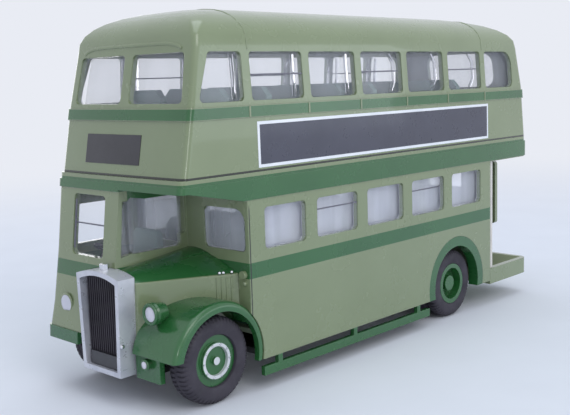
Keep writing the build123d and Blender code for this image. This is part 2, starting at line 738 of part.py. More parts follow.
def bonnet():
    """Bonnet with a row of upright louvre grooves near the bulkhead."""
    grooves = Part()
    for k in range(LOUVRES):
        x = BULKHEAD_X + LOUVRE_BACK + k * LOUVRE_PITCH
        z1 = BONNET_SHOULDER - LOUVRE_WIDTH
        grooves += slab(x, x + LOUVRE_WIDTH, 0, REACH, z1 - LOUVRE_HEIGHT, z1)
    return bonnet_solid() - (grooves - bonnet_solid(-LOUVRE_DEPTH))


def radiator_opening(x0, x1, grow=0.0):
    """Grille opening inside the radiator's rim."""
    return radiator_block(x0, x1, grow - RADIATOR_RIM)


def radiator_shell():
    shell = radiator_block(RADIATOR_X, FRONT_X)
    return shell - radiator_opening(FRONT_X - RADIATOR_RECESS, FRONT_X + WALL)


def radiator_core():
    x0 = FRONT_X - RADIATOR_RECESS
    core = radiator_opening(x0, x0 + CORE_BACKING, -FIT)
    pitch = 2 * (RADIATOR_FOOT_HALF - RADIATOR_RIM) / CORE_SLATS
    slats = Part()
    for k in range(CORE_SLATS):
        y = (k - (CORE_SLATS - 1) / 2) * pitch
        x1 = x0 + CORE_BACKING + SLAT_DEPTH
        slats += slab(x0 + CORE_BACKING / 2, x1, y - SLAT_WIDTH / 2, y + SLAT_WIDTH / 2, 0, REACH)
    slats &= radiator_opening(x0, FRONT_X, -FIT)
    return core + slats


def radiator_cap():
    x = FRONT_X - RADIATOR_DEPTH / 2
    z = RADIATOR_SHOULDER + RADIATOR_CROWN
    cap = Pos(x, 0, z) * Cylinder(CAP_R, 2 * CAP_HEIGHT)
    return cap - radiator_block(RADIATOR_X, FRONT_X)


def number_plate():
    width, height, thickness = PLATE_SIZE
    x0 = FRONT_X - RADIATOR_RECESS + CORE_BACKING + SLAT_DEPTH
    z0 = RADIATOR_FOOT + RADIATOR_RIM + FIT
    return slab(x0, x0 + thickness, -width / 2, width / 2, z0, z0 + height)


# Wings
def wing_side():
    """Side view of a front wing: round over the wheel, swept forward."""
    x = FRONT_AXLE_X
    z = TYRE_R
    inner = WING_INNER_R
    tail = inner + WING_THICKNESS
    nose = WING_FRONT_REACH
    edge = WING_FRONT_EDGE
    inner_front = (inner**2 - edge**2) ** 0.5
    drop = SKIRT_CLEARANCE - z
    inner_back = (inner**2 - drop**2) ** 0.5
    top = (x, z + inner + WING_CROWN)
    edges = [
        Line((x - inner_back, z + drop), (x - tail, z + drop)),
        TangentArc(top, (x - tail, z + drop), tangent=(-1, 0)),
        TangentArc(top, (x + nose, z + edge), tangent=(1, 0)),
        Line((x + nose, z + edge), (x + inner_front, z + edge)),
        ThreePointArc((x + inner_front, z + edge), (x, z + inner), (x - inner_back, z + drop)),
    ]
    return make_face(edges)


def front_wing_nearside():
    """Wing swept from the bonnet's side, its outer edge rolled over."""
    wing = across(wing_side(), BONNET_SIDE_FRONT, HALF)
    arcs = wing.edges().filter_by(GeomType.CIRCLE).group_by(Axis.Y)[-1]
    wing = fillet(arcs.filter_by(lambda arc: arc.radius > WING_INNER_R + FIT), WING_ROLL)
    wing -= bonnet_solid(FIT)
    behind = slab(-REACH, BULKHEAD_X + FIT, -REACH, REACH, 0, REACH)
    flange = rod_y(FRONT_AXLE_X, TYRE_R, FRONT_ARCH_R - FIT, HALF - WALL - FIT, REACH)
    return wing - (behind - flange)


def ring_wing(x, outer_r, side):
    """Wheel-arch flange: a ring over the wheel, cut off at the skirt's edge."""
    y0, y1 = sorted((side * (HALF - WING_DEPTH), side * HALF))
    ring = rod_y(x, TYRE_R, outer_r - FIT, y0, y1) - rod_y(x, TYRE_R, WING_INNER_R, y0, y1)
    return ring & between(SKIRT_CLEARANCE, REACH)


def front_wing_offside():
    """Flange round the wheel and the flared lip below the cab."""
    flange = ring_wing(FRONT_AXLE_X, FRONT_ARCH_R, -1)
    lip = lower_block(-BAND_PROUD) - lower_block(WALL)
    lip_y = -RADIATOR_FOOT_HALF - 2 * WALL
    lip &= slab(FRONT_AXLE_X + FRONT_ARCH_R, REACH, -REACH, lip_y, CAB_SKIRT - LIP_HEIGHT, CAB_SKIRT)
    return flange + lip


def rear_wing(side):
    return ring_wing(REAR_AXLE_X, REAR_ARCH_R, side)


# Front dumb-iron panel and life rails
def dumb_iron_panel():
    x1 = RADIATOR_X + DUMB_IRON_FRONT
    y0 = RADIATOR_FOOT_HALF + DUMB_IRON_FRONT
    z0 = SKIRT_CLEARANCE - DUMB_IRON_GAP
    panel = slab(DUMB_IRON_X, x1, y0, HEADLAMP_Y + HEADLAMP_R, z0, TYRE_R + WING_FRONT_EDGE)
    return panel - radiator_block(RADIATOR_X, FRONT_X, FIT)


def life_rail(side):
    x1 = FRONT_AXLE_X - FRONT_ARCH_R
    x0 = REAR_AXLE_X + REAR_ARCH_R
    y0, y1 = sorted((side * (HALF - RAIL_THICKNESS), side * HALF))
    z1 = SKIRT_CLEARANCE - RAIL_DROP
    rail = slab(x0, x1, y0, y1, z1 - RAIL_HEIGHT, z1)
    for share in RAIL_POSTS:
        x = x0 + share * (x1 - x0)
        rail += slab(x - RAIL_POST / 2, x + RAIL_POST / 2, y0, y1, z1 - RAIL_HEIGHT, SKIRT_CLEARANCE)
    return rail


# Lamps
def lamp_body(x, y, z):
    """Round headlamp facing forward with a tapering bowl."""
    lens = HEADLAMP_R - LAMP_BEZEL
    neck = HEADLAMP_LENGTH - HEADLAMP_R / 2
    corners = (
        (0, 0),
        (lens, 0),
        (HEADLAMP_R, -2 * LAMP_BEZEL),
        (HEADLAMP_R - LAMP_BEZEL, -neck),
        (0, -HEADLAMP_LENGTH),
    )
    solid = revolve(Plane.XZ * make_face(Polyline(*corners, close=True)), Axis.Z)
    return Pos(x, y, z) * Rot(Y=90) * solid


def headlamp_nearside():
    """Headlamp on a short stem that stands on the wing."""
    lamp = lamp_body(RADIATOR_X + LAMP_BEZEL, HEADLAMP_Y, HEADLAMP_Z)
    x = RADIATOR_X - HEADLAMP_LENGTH / 2
    lamp += Pos(x, HEADLAMP_Y, HEADLAMP_Z - HEADLAMP_LENGTH / 2) * Cylinder(LAMP_STEM_R, HEADLAMP_LENGTH)
    return lamp - front_wing_nearside()


def headlamp_offside():
    """Headlamp set in the cab's front panel."""
    front = FRONT_X - LOWER_LEVELS[2][1] + LAMP_BEZEL / 2
    return rod_x(CAB_LAMP_Y, CAB_LAMP_Z, CAB_LAMP_R, RADIATOR_X, front) - lower_block()


def fog_lamp():
    x = RADIATOR_X + DUMB_IRON_FRONT
    return rod_x(HEADLAMP_Y - FOG_LAMP_INWARD, FOG_LAMP_Z, FOG_LAMP_R, x, x + FOG_LAMP_R)


def side_lamp():
    y = HALF - SIDE_LAMP_INSET
    return rod_x(y, BONNET_SHOULDER, SIDE_LAMP_R, BULKHEAD_X, BULKHEAD_X + SIDE_LAMP_R)


def rear_lamps():
    lamps = []
    for y in (2 * REAR_CORNER_R - HALF, REAR_WALL_EDGE_Y - 2 * REAR_LAMP_R):
        lamp = rod_x(y, TONGUE_FOOT, REAR_LAMP_R, REAR_X + FIT, REAR_X + WALL)
        lamps.append(lamp - lower_block())
    return Compound(lamps)


# Wheels: one rigid set of axle, hubs and tyres on each axle line
def axle(x):
    return rod_y(x, TYRE_R, AXLE_R, HUB_DEPTH - TYRE_FACE_Y, TYRE_FACE_Y - HUB_DEPTH)


def tyre(x, side, width, twin):
    """Tyre with bevelled shoulders; a twin has a groove round its middle."""
    half = width / 2
    profile = (
        (HUB_R + FIT, half),
        (TYRE_R - TYRE_SHOULDER, half),
        (TYRE_R, half - TYRE_SHOULDER),
    )
    if twin:
        floor_r = TYRE_R - TYRE_SHOULDER
        profile += ((TYRE_R, TWIN_GROOVE / 2), (floor_r, TWIN_GROOVE / 2))
    corners = profile + tuple((r, -y) for r, y in reversed(profile))
    solid = revolve(make_face(Polyline(*corners, close=True)), Axis.Y)
    return Pos(x, side * (TYRE_FACE_Y - half), TYRE_R) * solid


def front_hub(x, side):
    """Flat wheel disc with a raised ring and a cap."""
    y1 = TYRE_FACE_Y - HUB_SET_IN
    y0 = y1 - HUB_RELIEF
    disc = rod_y(x, TYRE_R, HUB_R, TYRE_FACE_Y - FRONT_TYRE_WIDTH + HUB_RELIEF, y0)
    disc += rod_y(x, TYRE_R, HUB_RING_R, y0, y1) - rod_y(x, TYRE_R, HUB_RING_R - HUB_RING, y0, y1)
    disc += rod_y(x, TYRE_R, HUB_RING, y0, y1)
    disc -= rod_y(x, TYRE_R, AXLE_R + FIT, 0, TYRE_FACE_Y - HUB_DEPTH)
    return disc if side > 0 else mirror(disc, Plane.XZ)


def rear_hub(x, side):
    """Deep dished wheel disc with a hub end in its middle."""
    y1 = TYRE_FACE_Y - HUB_SET_IN
    y0 = TYRE_FACE_Y - HUB_DEPTH - HUB_RELIEF
    disc = rod_y(x, TYRE_R, HUB_R, TYRE_FACE_Y - REAR_TYRE_WIDTH + HUB_RELIEF, y1)
    disc -= rod_y(x, TYRE_R, HUB_R - HUB_RIM, y0, y1)
    disc += rod_y(x, TYRE_R, HUB_END_R, y0, y1 - HUB_RELIEF)
    disc -= rod_y(x, TYRE_R, AXLE_R + FIT, 0, TYRE_FACE_Y - HUB_DEPTH)
    return disc if side > 0 else mirror(disc, Plane.XZ)


LOWER_BODY = lower_deck_body()
PARTS = {
    "upper_deck_casting": upper_deck_casting(),
    "upper_glazing": upper_glazing(),
    "upper_deck_floor": upper_deck_floor(),
    "upper_seats": upper_seats(),
    "lower_deck_casting": LOWER_BODY & slab(PLATFORM_X, REACH, -REACH, REACH, 0, REACH),
    "rear_casting": LOWER_BODY & slab(-REACH, PLATFORM_X, -REACH, REACH, 0, REACH),
    "lower_glazing": lower_glazing(),
    "cab_glazing": cab_glazing(),
    "lower_deck_floor": lower_deck_floor(),
    "rear_platform": rear_platform(),
    "lower_seats": lower_seats(),
    "cab_seat": cab_seat(),
    "steering_wheel": steering_wheel(),
    "staircase": staircase(),
    "platform_pole": platform_pole(),
    "chassis_base": chassis_base(),
    "bonnet": bonnet(),
    "radiator_shell": radiator_shell(),
    "radiator_core": radiator_core(),
    "radiator_cap": radiator_cap(),
    "number_plate": number_plate(),
    "front_wing_nearside": front_wing_nearside(),
    "front_wing_offside": front_wing_offside(),
    "rear_wing_nearside": rear_wing(1),
    "rear_wing_offside": rear_wing(-1),
    "dumb_iron_panel": dumb_iron_panel(),
    "life_rail_nearside": life_rail(1),
    "life_rail_offside": life_rail(-1),
    "headlamp_nearside": headlamp_nearside(),
    "headlamp_offside": headlamp_offside(),
    "fog_lamp": fog_lamp(),
    "side_lamp": side_lamp(),
    "rear_lamps": rear_lamps(),
    "front_axle": axle(FRONT_AXLE_X),
    "rear_axle": axle(REAR_AXLE_X),
}
for side, name in ((1, "nearside"), (-1, "offside")):
    PARTS[f"front_hub_{name}"] = front_hub(FRONT_AXLE_X, side)
    PARTS[f"front_tyre_{name}"] = tyre(FRONT_AXLE_X, side, FRONT_TYRE_WIDTH, False)
    PARTS[f"rear_hub_{name}"] = rear_hub(REAR_AXLE_X, side)
    PARTS[f"rear_tyre_{name}"] = tyre(REAR_AXLE_X, side, REAR_TYRE_WIDTH, True)

os.makedirs("parts", exist_ok=True)
for node, shape in PARTS.items():
    export_step(shape, f"parts/{node}.step")
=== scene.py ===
import json
import math

import bmesh
import bpy
from mathutils import Matrix, Vector
from mathutils.bvhtree import BVHTree

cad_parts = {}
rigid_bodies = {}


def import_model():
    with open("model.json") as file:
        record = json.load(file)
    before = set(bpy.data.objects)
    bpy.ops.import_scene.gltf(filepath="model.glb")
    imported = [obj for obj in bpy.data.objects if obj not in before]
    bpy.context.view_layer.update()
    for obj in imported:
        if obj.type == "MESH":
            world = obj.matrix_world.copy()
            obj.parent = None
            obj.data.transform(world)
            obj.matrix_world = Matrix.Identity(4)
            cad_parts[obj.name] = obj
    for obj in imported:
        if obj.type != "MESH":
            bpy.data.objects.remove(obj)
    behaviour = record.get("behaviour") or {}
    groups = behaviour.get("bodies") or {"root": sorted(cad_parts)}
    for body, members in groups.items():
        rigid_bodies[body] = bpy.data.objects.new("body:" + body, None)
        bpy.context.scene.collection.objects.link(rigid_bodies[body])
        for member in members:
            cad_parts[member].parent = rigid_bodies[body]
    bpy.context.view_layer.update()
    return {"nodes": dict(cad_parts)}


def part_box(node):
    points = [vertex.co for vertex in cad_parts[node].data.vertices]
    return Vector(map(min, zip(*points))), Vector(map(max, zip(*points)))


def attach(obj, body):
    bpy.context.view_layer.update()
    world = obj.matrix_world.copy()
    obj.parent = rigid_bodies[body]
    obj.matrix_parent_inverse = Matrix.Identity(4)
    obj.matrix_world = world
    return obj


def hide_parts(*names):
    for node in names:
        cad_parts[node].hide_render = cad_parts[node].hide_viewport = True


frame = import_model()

# Sizes are written in millimetres and turned into metres with MM
MM = 0.001


def box_mm(node):
    """Lowest and highest corner of a CAD node, in millimetres."""
    low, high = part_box(node)
    return low / MM, high / MM


def middle(node):
    """Middle of a CAD node's box, in millimetres."""
    low, high = box_mm(node)
    return (low + high) / 2


# Places taken from the CAD nodes
ENDS = ("front", "rear")
SIDES = {"nearside": 1, "offside": -1}
AXLE = {end: middle(f"{end}_axle") for end in ENDS}
TYRE_LOW = {end: box_mm(f"{end}_tyre_nearside")[0] for end in ENDS}
TYRE_HIGH = {end: box_mm(f"{end}_tyre_nearside")[1] for end in ENDS}
TYRE_R = AXLE["front"].z
HUB_R = box_mm("front_hub_nearside")[1].x - AXLE["front"].x
HALF = box_mm("rear_platform")[1].y
BULKHEAD_X = box_mm("bonnet")[0].x
PLATFORM_X = box_mm("rear_platform")[1].x
RADIATOR_FACE = box_mm("radiator_shell")[1].x
DECK_JOINT = box_mm("upper_deck_casting")[0].z
ROOF_TOP = box_mm("upper_deck_casting")[1].z
UPPER_GLASS_FRONT = box_mm("upper_glazing")[1].x

# Edges that paint and panes follow: the upper front's lean in x for each z, where the canopy's front begins,
# the inner edge of the rear wall, and the platform's rim with how softly its floor begins
FRONT_LEAN = 0.228
CANOPY_NOSE = RADIATOR_FACE - 5.75
REAR_POST_Y = 4.6
PLATFORM_RIM = 1.3
RIM_SOFT = 0.08
FLOOR_SKIN = 0.03
FLOOR_SOFT = 0.01

# Pillars between the bays, from the front
BAYS = 5
FIRST_PILLAR_BEHIND = 1.2
LAST_PILLAR_AHEAD = 2.4
FIRST_PILLAR = BULKHEAD_X - FIRST_PILLAR_BEHIND
BAY = (FIRST_PILLAR - PLATFORM_X - LAST_PILLAR_AHEAD) / BAYS
PILLARS = [FIRST_PILLAR - BAY * k for k in range(BAYS + 1)]
UPPER_PILLAR = 1.7
LOWER_PILLAR = 2.8

# Heights above the ground: paint lines, windows and their rails
BAND_WAIST = (18.7, 21.2)
BAND_CANTRAIL = (31.15, 34.75)
BAND_FRONT_FOOT = 33.05
BAND_UPPER = (43.95, 45.58)
BONNET_LINE = 19.45
SEAM = 0.34
SEAM_SOFT = 0.05
DECK_LAP = 1.0
REAR_BAND_LAP = 0.5
UPPER_SILL = 46.4
UPPER_HEAD = 53.85
UPPER_RAIL_Z = 50.35
LOWER_RAIL_Z = 27.7
RAIL = 0.24

# Joint line where the bulkhead meets the side panel: its place along and up, where it begins across, and how
# soft its two ends and its inner side are
BULKHEAD_JOINT_X = (BULKHEAD_X - 0.42, BULKHEAD_X - 0.2)
BULKHEAD_JOINT_Z = (10.0, 30.0)
BULKHEAD_JOINT_Y = HALF - 1.45
JOINT_END_SOFT = 0.5
JOINT_SIDE_SOFT = 0.2

# Plated ring and cap of a front wheel, as distances from its axle
HUB_RING = (2.28, 2.82)
HUB_CAP = 0.62

# Where the outer faces of the panes begin, in from the outside, and how clear the bulkhead's pane is
UPPER_PANE_IN = 1.3
UPPER_FRONT_IN = 0.75
LOWER_PANE_IN = 0.95
BULKHEAD_PANE_IN = 2.5
CAB_PANE_Y = -1.2
PANE_SOFT = 0.1
BULKHEAD_CLEAR = 0.6

# Bays whose upper or lower windows have a rail
UPPER_RAILED = (0, 2, 4)
LOWER_RAILED = (1, 3)

# Printed panels: low and high place along the view, low and high height
ADVERT = (PLATFORM_X + 0.9, FIRST_PILLAR - 1.6, 35.95, 43.15)
ADVERT_BORDER = 0.5
DESTINATION = (-8.84, 5.16, 37.2, 41.75)
WINDSCREEN = (-10.6, -2.35, 23.3, 31.2)

# The photograph's frame and the camera fitted to it
PHOTO_WIDTH = 570
FOCAL_PIXELS = 902.555
SENSOR_MM = 36.0
CLIP_NEAR = 0.005
CLIP_FAR = 50.0
CAMERA_PLACE = Vector((131.17, 114.995, 49.455)) * MM
CAMERA_YAW = -2.38092427
CAMERA_PITCH = -0.1410143
CAMERA_ROLL = -0.0312041


# Colours, written as they look on a screen
def colour(red, green, blue):
    """Screen values from 0 to 255 as scene-linear colour."""
    linear = []
    for value in (red, green, blue):
        share = value / 255
        linear.append(share / 12.92 if share <= 0.04045 else ((share + 0.055) / 1.055) ** 2.4)
    return (*linear, 1.0)


SAGE = colour(128, 141, 107)
SAGE_DEEP = colour(123, 136, 102)
# Lighter tone of the sage, painted on edges as a highlight
SAGE_HIGHLIGHT = colour(146, 158, 128)
BOTTLE = colour(41, 98, 50)
BOTTLE_DEEP = colour(34, 90, 45)
# Lighter tone of the bottle green, painted on edges as a highlight
BOTTLE_HIGHLIGHT = colour(84, 136, 92)
# Dark of the joint lines; at the deck joint it is painted shadow in the gap
SEAM_DARK = colour(26, 32, 22)
SEAT_GREEN = colour(92, 130, 118)
SEAT_DEEP = colour(78, 116, 104)
NAVY = colour(58, 60, 78)
NAVY_DEEP = colour(50, 52, 70)
PAPER = colour(240, 243, 246)
RUBBER = colour(46, 43, 52)
RUBBER_WORN = colour(62, 58, 68)
SILVER = colour(214, 217, 220)
BASE_BLACK = colour(34, 35, 36)
PALE_STAGE = colour(229, 232, 239)
PALE_STAGE_DEEP = colour(226, 229, 236)
BACKGROUND = colour(233, 236, 244)


# Node helpers: how soft a painted edge is, the noise's usual range, and what turn of the surface is an edge
PAINT_SOFT = 0.03
NOISE_ROUGHNESS = 0.55
NOISE_LOW = 0.3
NOISE_HIGH = 0.7
BEVEL_SAMPLES = 4
EDGE_TURN = 0.1
EDGE_SOFT = 0.08


class Graph:
    """A material's node tree with short ways to add nodes."""

    def __init__(self, name):
        self.material = bpy.data.materials.new(name)
        self.material.use_nodes = True
        self.nodes = self.material.node_tree.nodes
        self.links = self.material.node_tree.links
        self.shader = self.nodes["Principled BSDF"]
        coordinates = self.nodes.new("ShaderNodeTexCoord")
        self.place = coordinates.outputs["Object"]
        self.axes = None
        self.soft_normal = None

    def feed(self, socket, value):
        """Link an output, or set a constant, on an input socket."""
        if isinstance(value, bpy.types.NodeSocket):
            self.links.new(value, socket)
        else:
            socket.default_value = value

    def math(self, operation, first, second=0.0):
        """Output of a math node on two values."""
        node = self.nodes.new("ShaderNodeMath")
        node.operation = operation
        self.feed(node.inputs[0], first)
        self.feed(node.inputs[1], second)
        return node.outputs[0]

    def axis(self, letter):
        """Place on an axis of the frame, in metres."""
        if self.axes is None:
            node = self.nodes.new("ShaderNodeSeparateXYZ")
            self.links.new(self.place, node.inputs[0])
            self.axes = node.outputs
        return self.axes["XYZ".index(letter)]

    def step(self, value, edge, soft):
        """0 below the edge, 1 above it, with a soft change."""
        node = self.nodes.new("ShaderNodeMapRange")
        node.interpolation_type = "SMOOTHSTEP"
        self.feed(node.inputs["Value"], value)
        node.inputs["From Min"].default_value = edge - soft
        node.inputs["From Max"].default_value = edge + soft
        return node.outputs["Result"]

    def beyond(self, letter, edge, soft=PAINT_SOFT):
        """1 past a place on an axis, in millimetres."""
        return self.step(self.axis(letter), edge * MM, soft * MM)

    def without(self, share):
        """What a share leaves of 1."""
        return self.math("SUBTRACT", 1.0, share)

    def within(self, value, low, high, soft=PAINT_SOFT):
        """1 where a value in metres lies between two places in millimetres."""
        above = self.step(value, low * MM, soft * MM)
        return self.math("MULTIPLY", above, self.without(self.step(value, high * MM, soft * MM)))

    def between(self, letter, low, high, soft=PAINT_SOFT):
        """1 between two places on an axis, in millimetres."""
        return self.within(self.axis(letter), low, high, soft)

    def radius(self, x_mm, z_mm):
        """Distance in metres from a line along Y."""
        across = self.math("SUBTRACT", self.axis("X"), x_mm * MM)
        up = self.math("SUBTRACT", self.axis("Z"), z_mm * MM)
        squares = self.math("ADD", self.math("POWER", across, 2.0), self.math("POWER", up, 2.0))
        return self.math("SQRT", squares)

    def noise(self, scale, detail=3.0, stretch=(1.0, 1.0, 1.0)):
        """Noise that stays in place on the part, stretched along some axes."""
        squeeze = self.nodes.new("ShaderNodeVectorMath")
        squeeze.operation = "MULTIPLY"
        self.links.new(self.place, squeeze.inputs[0])
        squeeze.inputs[1].default_value = stretch
        node = self.nodes.new("ShaderNodeTexNoise")
        self.links.new(squeeze.outputs[0], node.inputs["Vector"])
        node.inputs["Scale"].default_value = scale
        node.inputs["Detail"].default_value = detail
        node.inputs["Roughness"].default_value = NOISE_ROUGHNESS
        return node.outputs["Fac"]

    def spread(self, value, low, high):
        """Spread a noise value over another range."""
        node = self.nodes.new("ShaderNodeMapRange")
        self.feed(node.inputs["Value"], value)
        node.inputs["From Min"].default_value = NOISE_LOW
        node.inputs["From Max"].default_value = NOISE_HIGH
        node.inputs["To Min"].default_value = low
        node.inputs["To Max"].default_value = high
        return node.outputs["Result"]

    def mix(self, factor, first, second):
        """Colour between two colours."""
        node = self.nodes.new("ShaderNodeMix")
        node.data_type = "RGBA"
        self.feed(node.inputs["Factor"], factor)
        self.feed(node.inputs["A"], first)
        self.feed(node.inputs["B"], second)
        return node.outputs["Result"]

    def edges(self, radius):
        """Round the shading of edges, and give a mask that is 1 on them."""
        bevel = self.nodes.new("ShaderNodeBevel")
        bevel.samples = BEVEL_SAMPLES
        bevel.inputs["Radius"].default_value = radius * MM
        self.soft_normal = bevel.outputs["Normal"]
        geometry = self.nodes.new("ShaderNodeNewGeometry")
        dot = self.nodes.new("ShaderNodeVectorMath")
        dot.operation = "DOT_PRODUCT"
        self.links.new(self.soft_normal, dot.inputs[0])
        self.links.new(geometry.outputs["Normal"], dot.inputs[1])
        turned_share = self.math("SUBTRACT", 1.0, dot.outputs["Value"])
        return self.step(turned_share, EDGE_TURN, EDGE_SOFT)

    def bump(self, height, strength, distance):
        """Fine relief in the shading, on top of the softened edges."""
        node = self.nodes.new("ShaderNodeBump")
        node.inputs["Strength"].default_value = strength
        node.inputs["Distance"].default_value = distance
        self.links.new(height, node.inputs["Height"])
        if self.soft_normal is not None:
            self.links.new(self.soft_normal, node.inputs["Normal"])
        self.links.new(node.outputs["Normal"], self.shader.inputs["Normal"])

    def set(self, **values):
        """Set shader inputs by name, with _ for a space."""
        for name, value in values.items():
            self.feed(self.shader.inputs[name.replace("_", " ")], value)
        return self.material


# Enamel: scales of its clouds, grain and sheen, the painted highlight on its edges, and how it shines
CLOUD_SCALE = 90.0
GRAIN_SCALE = 500.0
SHEEN_SCALE = 220.0
ENAMEL_EDGE = 0.22
EDGE_HIGHLIGHT_SHARE = 0.5
ENAMEL_GRAIN = 0.004
ENAMEL_SHEEN = (0.22, 0.3)
ENAMEL_GLOSS = 0.5
MATT_SHEEN = 0.6
GRAIN_DEPTH = 0.05


def enamel(name, light, deep, edge, marks=(), matt=None):
    """Glossy sprayed enamel on a casting, with a painted highlight on its edges.

    Each mark is a mask function with the colours that it paints, and matt masks a part without gloss.
    """
    graph = Graph(name)
    cloud = graph.spread(graph.noise(CLOUD_SCALE), 0.0, 1.0)
    base = graph.mix(cloud, light, deep)
    rim = edge
    for mask, mark_light, mark_deep, mark_highlight in marks:
        share = mask(graph)
        base = graph.mix(share, base, graph.mix(cloud, mark_light, mark_deep))
        rim = graph.mix(share, rim, mark_highlight)
    # Edges take the lighter edge colour, a painted highlight
    painted_edge_highlight = graph.math("MULTIPLY", graph.edges(ENAMEL_EDGE), EDGE_HIGHLIGHT_SHARE)
    base = graph.mix(painted_edge_highlight, base, rim)
    graph.bump(graph.noise(GRAIN_SCALE, detail=1.0), ENAMEL_GRAIN, GRAIN_DEPTH * MM)
    rough = graph.spread(graph.noise(SHEEN_SCALE), *ENAMEL_SHEEN)
    gloss = ENAMEL_GLOSS
    if matt is not None:
        dull = matt(graph)
        gloss = graph.math("MULTIPLY", graph.without(dull), gloss)
        rough = graph.math("ADD", rough, graph.math("MULTIPLY", dull, MATT_SHEEN))
    return graph.set(Base_Color=base, Roughness=rough, Coat_Weight=gloss, Coat_Roughness=0.04, IOR=1.5)


def lower_bands(graph):
    """Dark bands of the lower deck; on the front the cantrail band is only its upper edge."""
    waist = graph.between("Z", *BAND_WAIST)
    cantrail = graph.between("Z", *BAND_CANTRAIL)
    ahead = graph.beyond("X", CANOPY_NOSE)
    bare = graph.math("MULTIPLY", ahead, graph.without(graph.beyond("Z", BAND_FRONT_FOOT)))
    cantrail = graph.math("MULTIPLY", cantrail, graph.without(bare))
    return graph.math("MAXIMUM", waist, cantrail)


def rear_wall(graph):
    """1 on the rear wall and above the platform opening, 0 on the post beside the opening."""
    post = graph.beyond("Y", REAR_POST_Y)
    return graph.math("MAXIMUM", graph.without(post), graph.beyond("Z", BAND_CANTRAIL[0] - REAR_BAND_LAP))


def rear_bands(graph):
    """The lower deck's bands, which stop at the inner edge of the rear wall."""
    return graph.math("MULTIPLY", lower_bands(graph), rear_wall(graph))


def bulkhead_joint(graph):
    """Dark joint line where the bulkhead meets the side panel."""
    line = graph.between("X", *BULKHEAD_JOINT_X, SEAM_SOFT)
    upright = graph.between("Z", *BULKHEAD_JOINT_Z, JOINT_END_SOFT)
    outer = graph.beyond("Y", BULKHEAD_JOINT_Y, JOINT_SIDE_SOFT)
    return graph.math("MULTIPLY", graph.math("MULTIPLY", line, upright), outer)


def upper_band(graph):
    """Dark band below the upper windows."""
    return graph.between("Z", *BAND_UPPER)


def deck_joint_shadow(graph):
    """Painted shadow: a dark line in the gap where the upper casting sits on the lower one."""
    return graph.between("Z", DECK_JOINT - DECK_LAP, DECK_JOINT + SEAM, SEAM_SOFT)


def platform_floor(graph):
    """1 on the platform's floor, inside its pale rim."""
    low, high = box_mm("rear_platform")
    along = graph.between("X", low.x + PLATFORM_RIM, high.x + PLATFORM_RIM, RIM_SOFT)
    across = graph.between("Y", low.y + PLATFORM_RIM, high.y - PLATFORM_RIM, RIM_SOFT)
    top = graph.beyond("Z", high.z - FLOOR_SKIN, FLOOR_SOFT)
    return graph.math("MULTIPLY", graph.math("MULTIPLY", along, across), top)


def bonnet_top(graph):
    """Dark top of the bonnet, above its shoulder line."""
    return graph.between("Z", BONNET_LINE, ROOF_TOP)


def hub_ring(end):
    """Mask of the plated ring and cap on a wheel."""

    def mask(graph):
        away = graph.radius(AXLE[end].x, AXLE[end].z)
        ring = graph.within(away, *HUB_RING)
        cap = graph.without(graph.step(away, HUB_CAP * MM, PAINT_SOFT * MM))
        return graph.math("MAXIMUM", ring, cap)

    return mask


# Moulded surfaces: scales of their mottle, sheen and grain, and how far the roughness varies
MOTTLE_SCALE = 220.0
PLAIN_SHEEN_SCALE = 660.0
PLAIN_GRAIN_SCALE = 1760.0
PLAIN_EDGE = 0.12
SMOOTHER = 0.85
ROUGHER = 1.2


def plain(name, light, deep, roughness, metal=0.0, coat=0.0, bump=0.02):
    """Moulded or painted surface with a mottled colour and a fine grain."""
    graph = Graph(name)
    base = graph.mix(graph.spread(graph.noise(MOTTLE_SCALE), 0.0, 1.0), light, deep)
    rough_noise = graph.noise(PLAIN_SHEEN_SCALE)
    rough = graph.spread(rough_noise, roughness * SMOOTHER, min(1.0, roughness * ROUGHER))
    graph.edges(PLAIN_EDGE)
    graph.bump(graph.noise(PLAIN_GRAIN_SCALE, detail=2.0), bump, GRAIN_DEPTH * MM)
    return graph.set(Base_Color=base, Roughness=rough, Metallic=metal, Coat_Weight=coat, Coat_Roughness=0.08)


# Clear mouldings: their ripples, and the tints and polish of the panes and the thicker ribs
RIPPLE_SCALE = 240.0
RIPPLE = 0.06
RIPPLE_DEPTH = 0.1
TINT_SCALE = 120.0
POLISH_SCALE = 300.0
PANE_TINT = (colour(240, 242, 251), colour(228, 231, 244))
PANE_POLISH = (0.03, 0.07)
RIB_TINT = (colour(250, 250, 253), colour(240, 241, 248))
RIB_POLISH = (0.01, 0.03)
STREAK_SCALE = 330.0
STREAK_STRETCH = (1.0, 1.0, 0.12)
STREAK_SPREAD = 0.15


def clear_graph(name, tints, polish):
    """Graph of a rippled clear moulding, with its tint and polish set."""
    graph = Graph(name)
    graph.bump(graph.noise(RIPPLE_SCALE, detail=1.0), RIPPLE, RIPPLE_DEPTH * MM)
    tint = graph.mix(graph.spread(graph.noise(TINT_SCALE), 0.0, 1.0), *tints)
    graph.set(Base_Color=tint, Roughness=graph.spread(graph.noise(POLISH_SCALE), *polish))
    return graph


def clear_plastic(name, face, milk, outer):
    """Clear moulding, see-through but for a gloss on its face and upright milky streaks inside.

    face and milk are how much each hides of what is behind, and outer masks the outside faces.
    """
    graph = clear_graph(name, PANE_TINT, PANE_POLISH)
    streak_noise = graph.noise(STREAK_SCALE, detail=2.0, stretch=STREAK_STRETCH)
    streak = graph.spread(streak_noise, (1 - STREAK_SPREAD) * milk, (1 + STREAK_SPREAD) * milk)
    outside = outer(graph)
    inside = graph.math("MULTIPLY", graph.without(outside), streak)
    hidden = graph.math("ADD", inside, graph.math("MULTIPLY", outside, face))
    return graph.set(Alpha=hidden, IOR=1.9)


def thick_plastic(name):
    """Clear moulding thick enough to bend what is seen through it."""
    graph = clear_graph(name, RIB_TINT, RIB_POLISH)
    return graph.set(Transmission_Weight=1.0, IOR=1.4)


def side_faces(graph, depth):
    """1 on the faces less than a depth in from either side."""
    return graph.step(graph.math("ABSOLUTE", graph.axis("Y")), (HALF - depth) * MM, PANE_SOFT * MM)


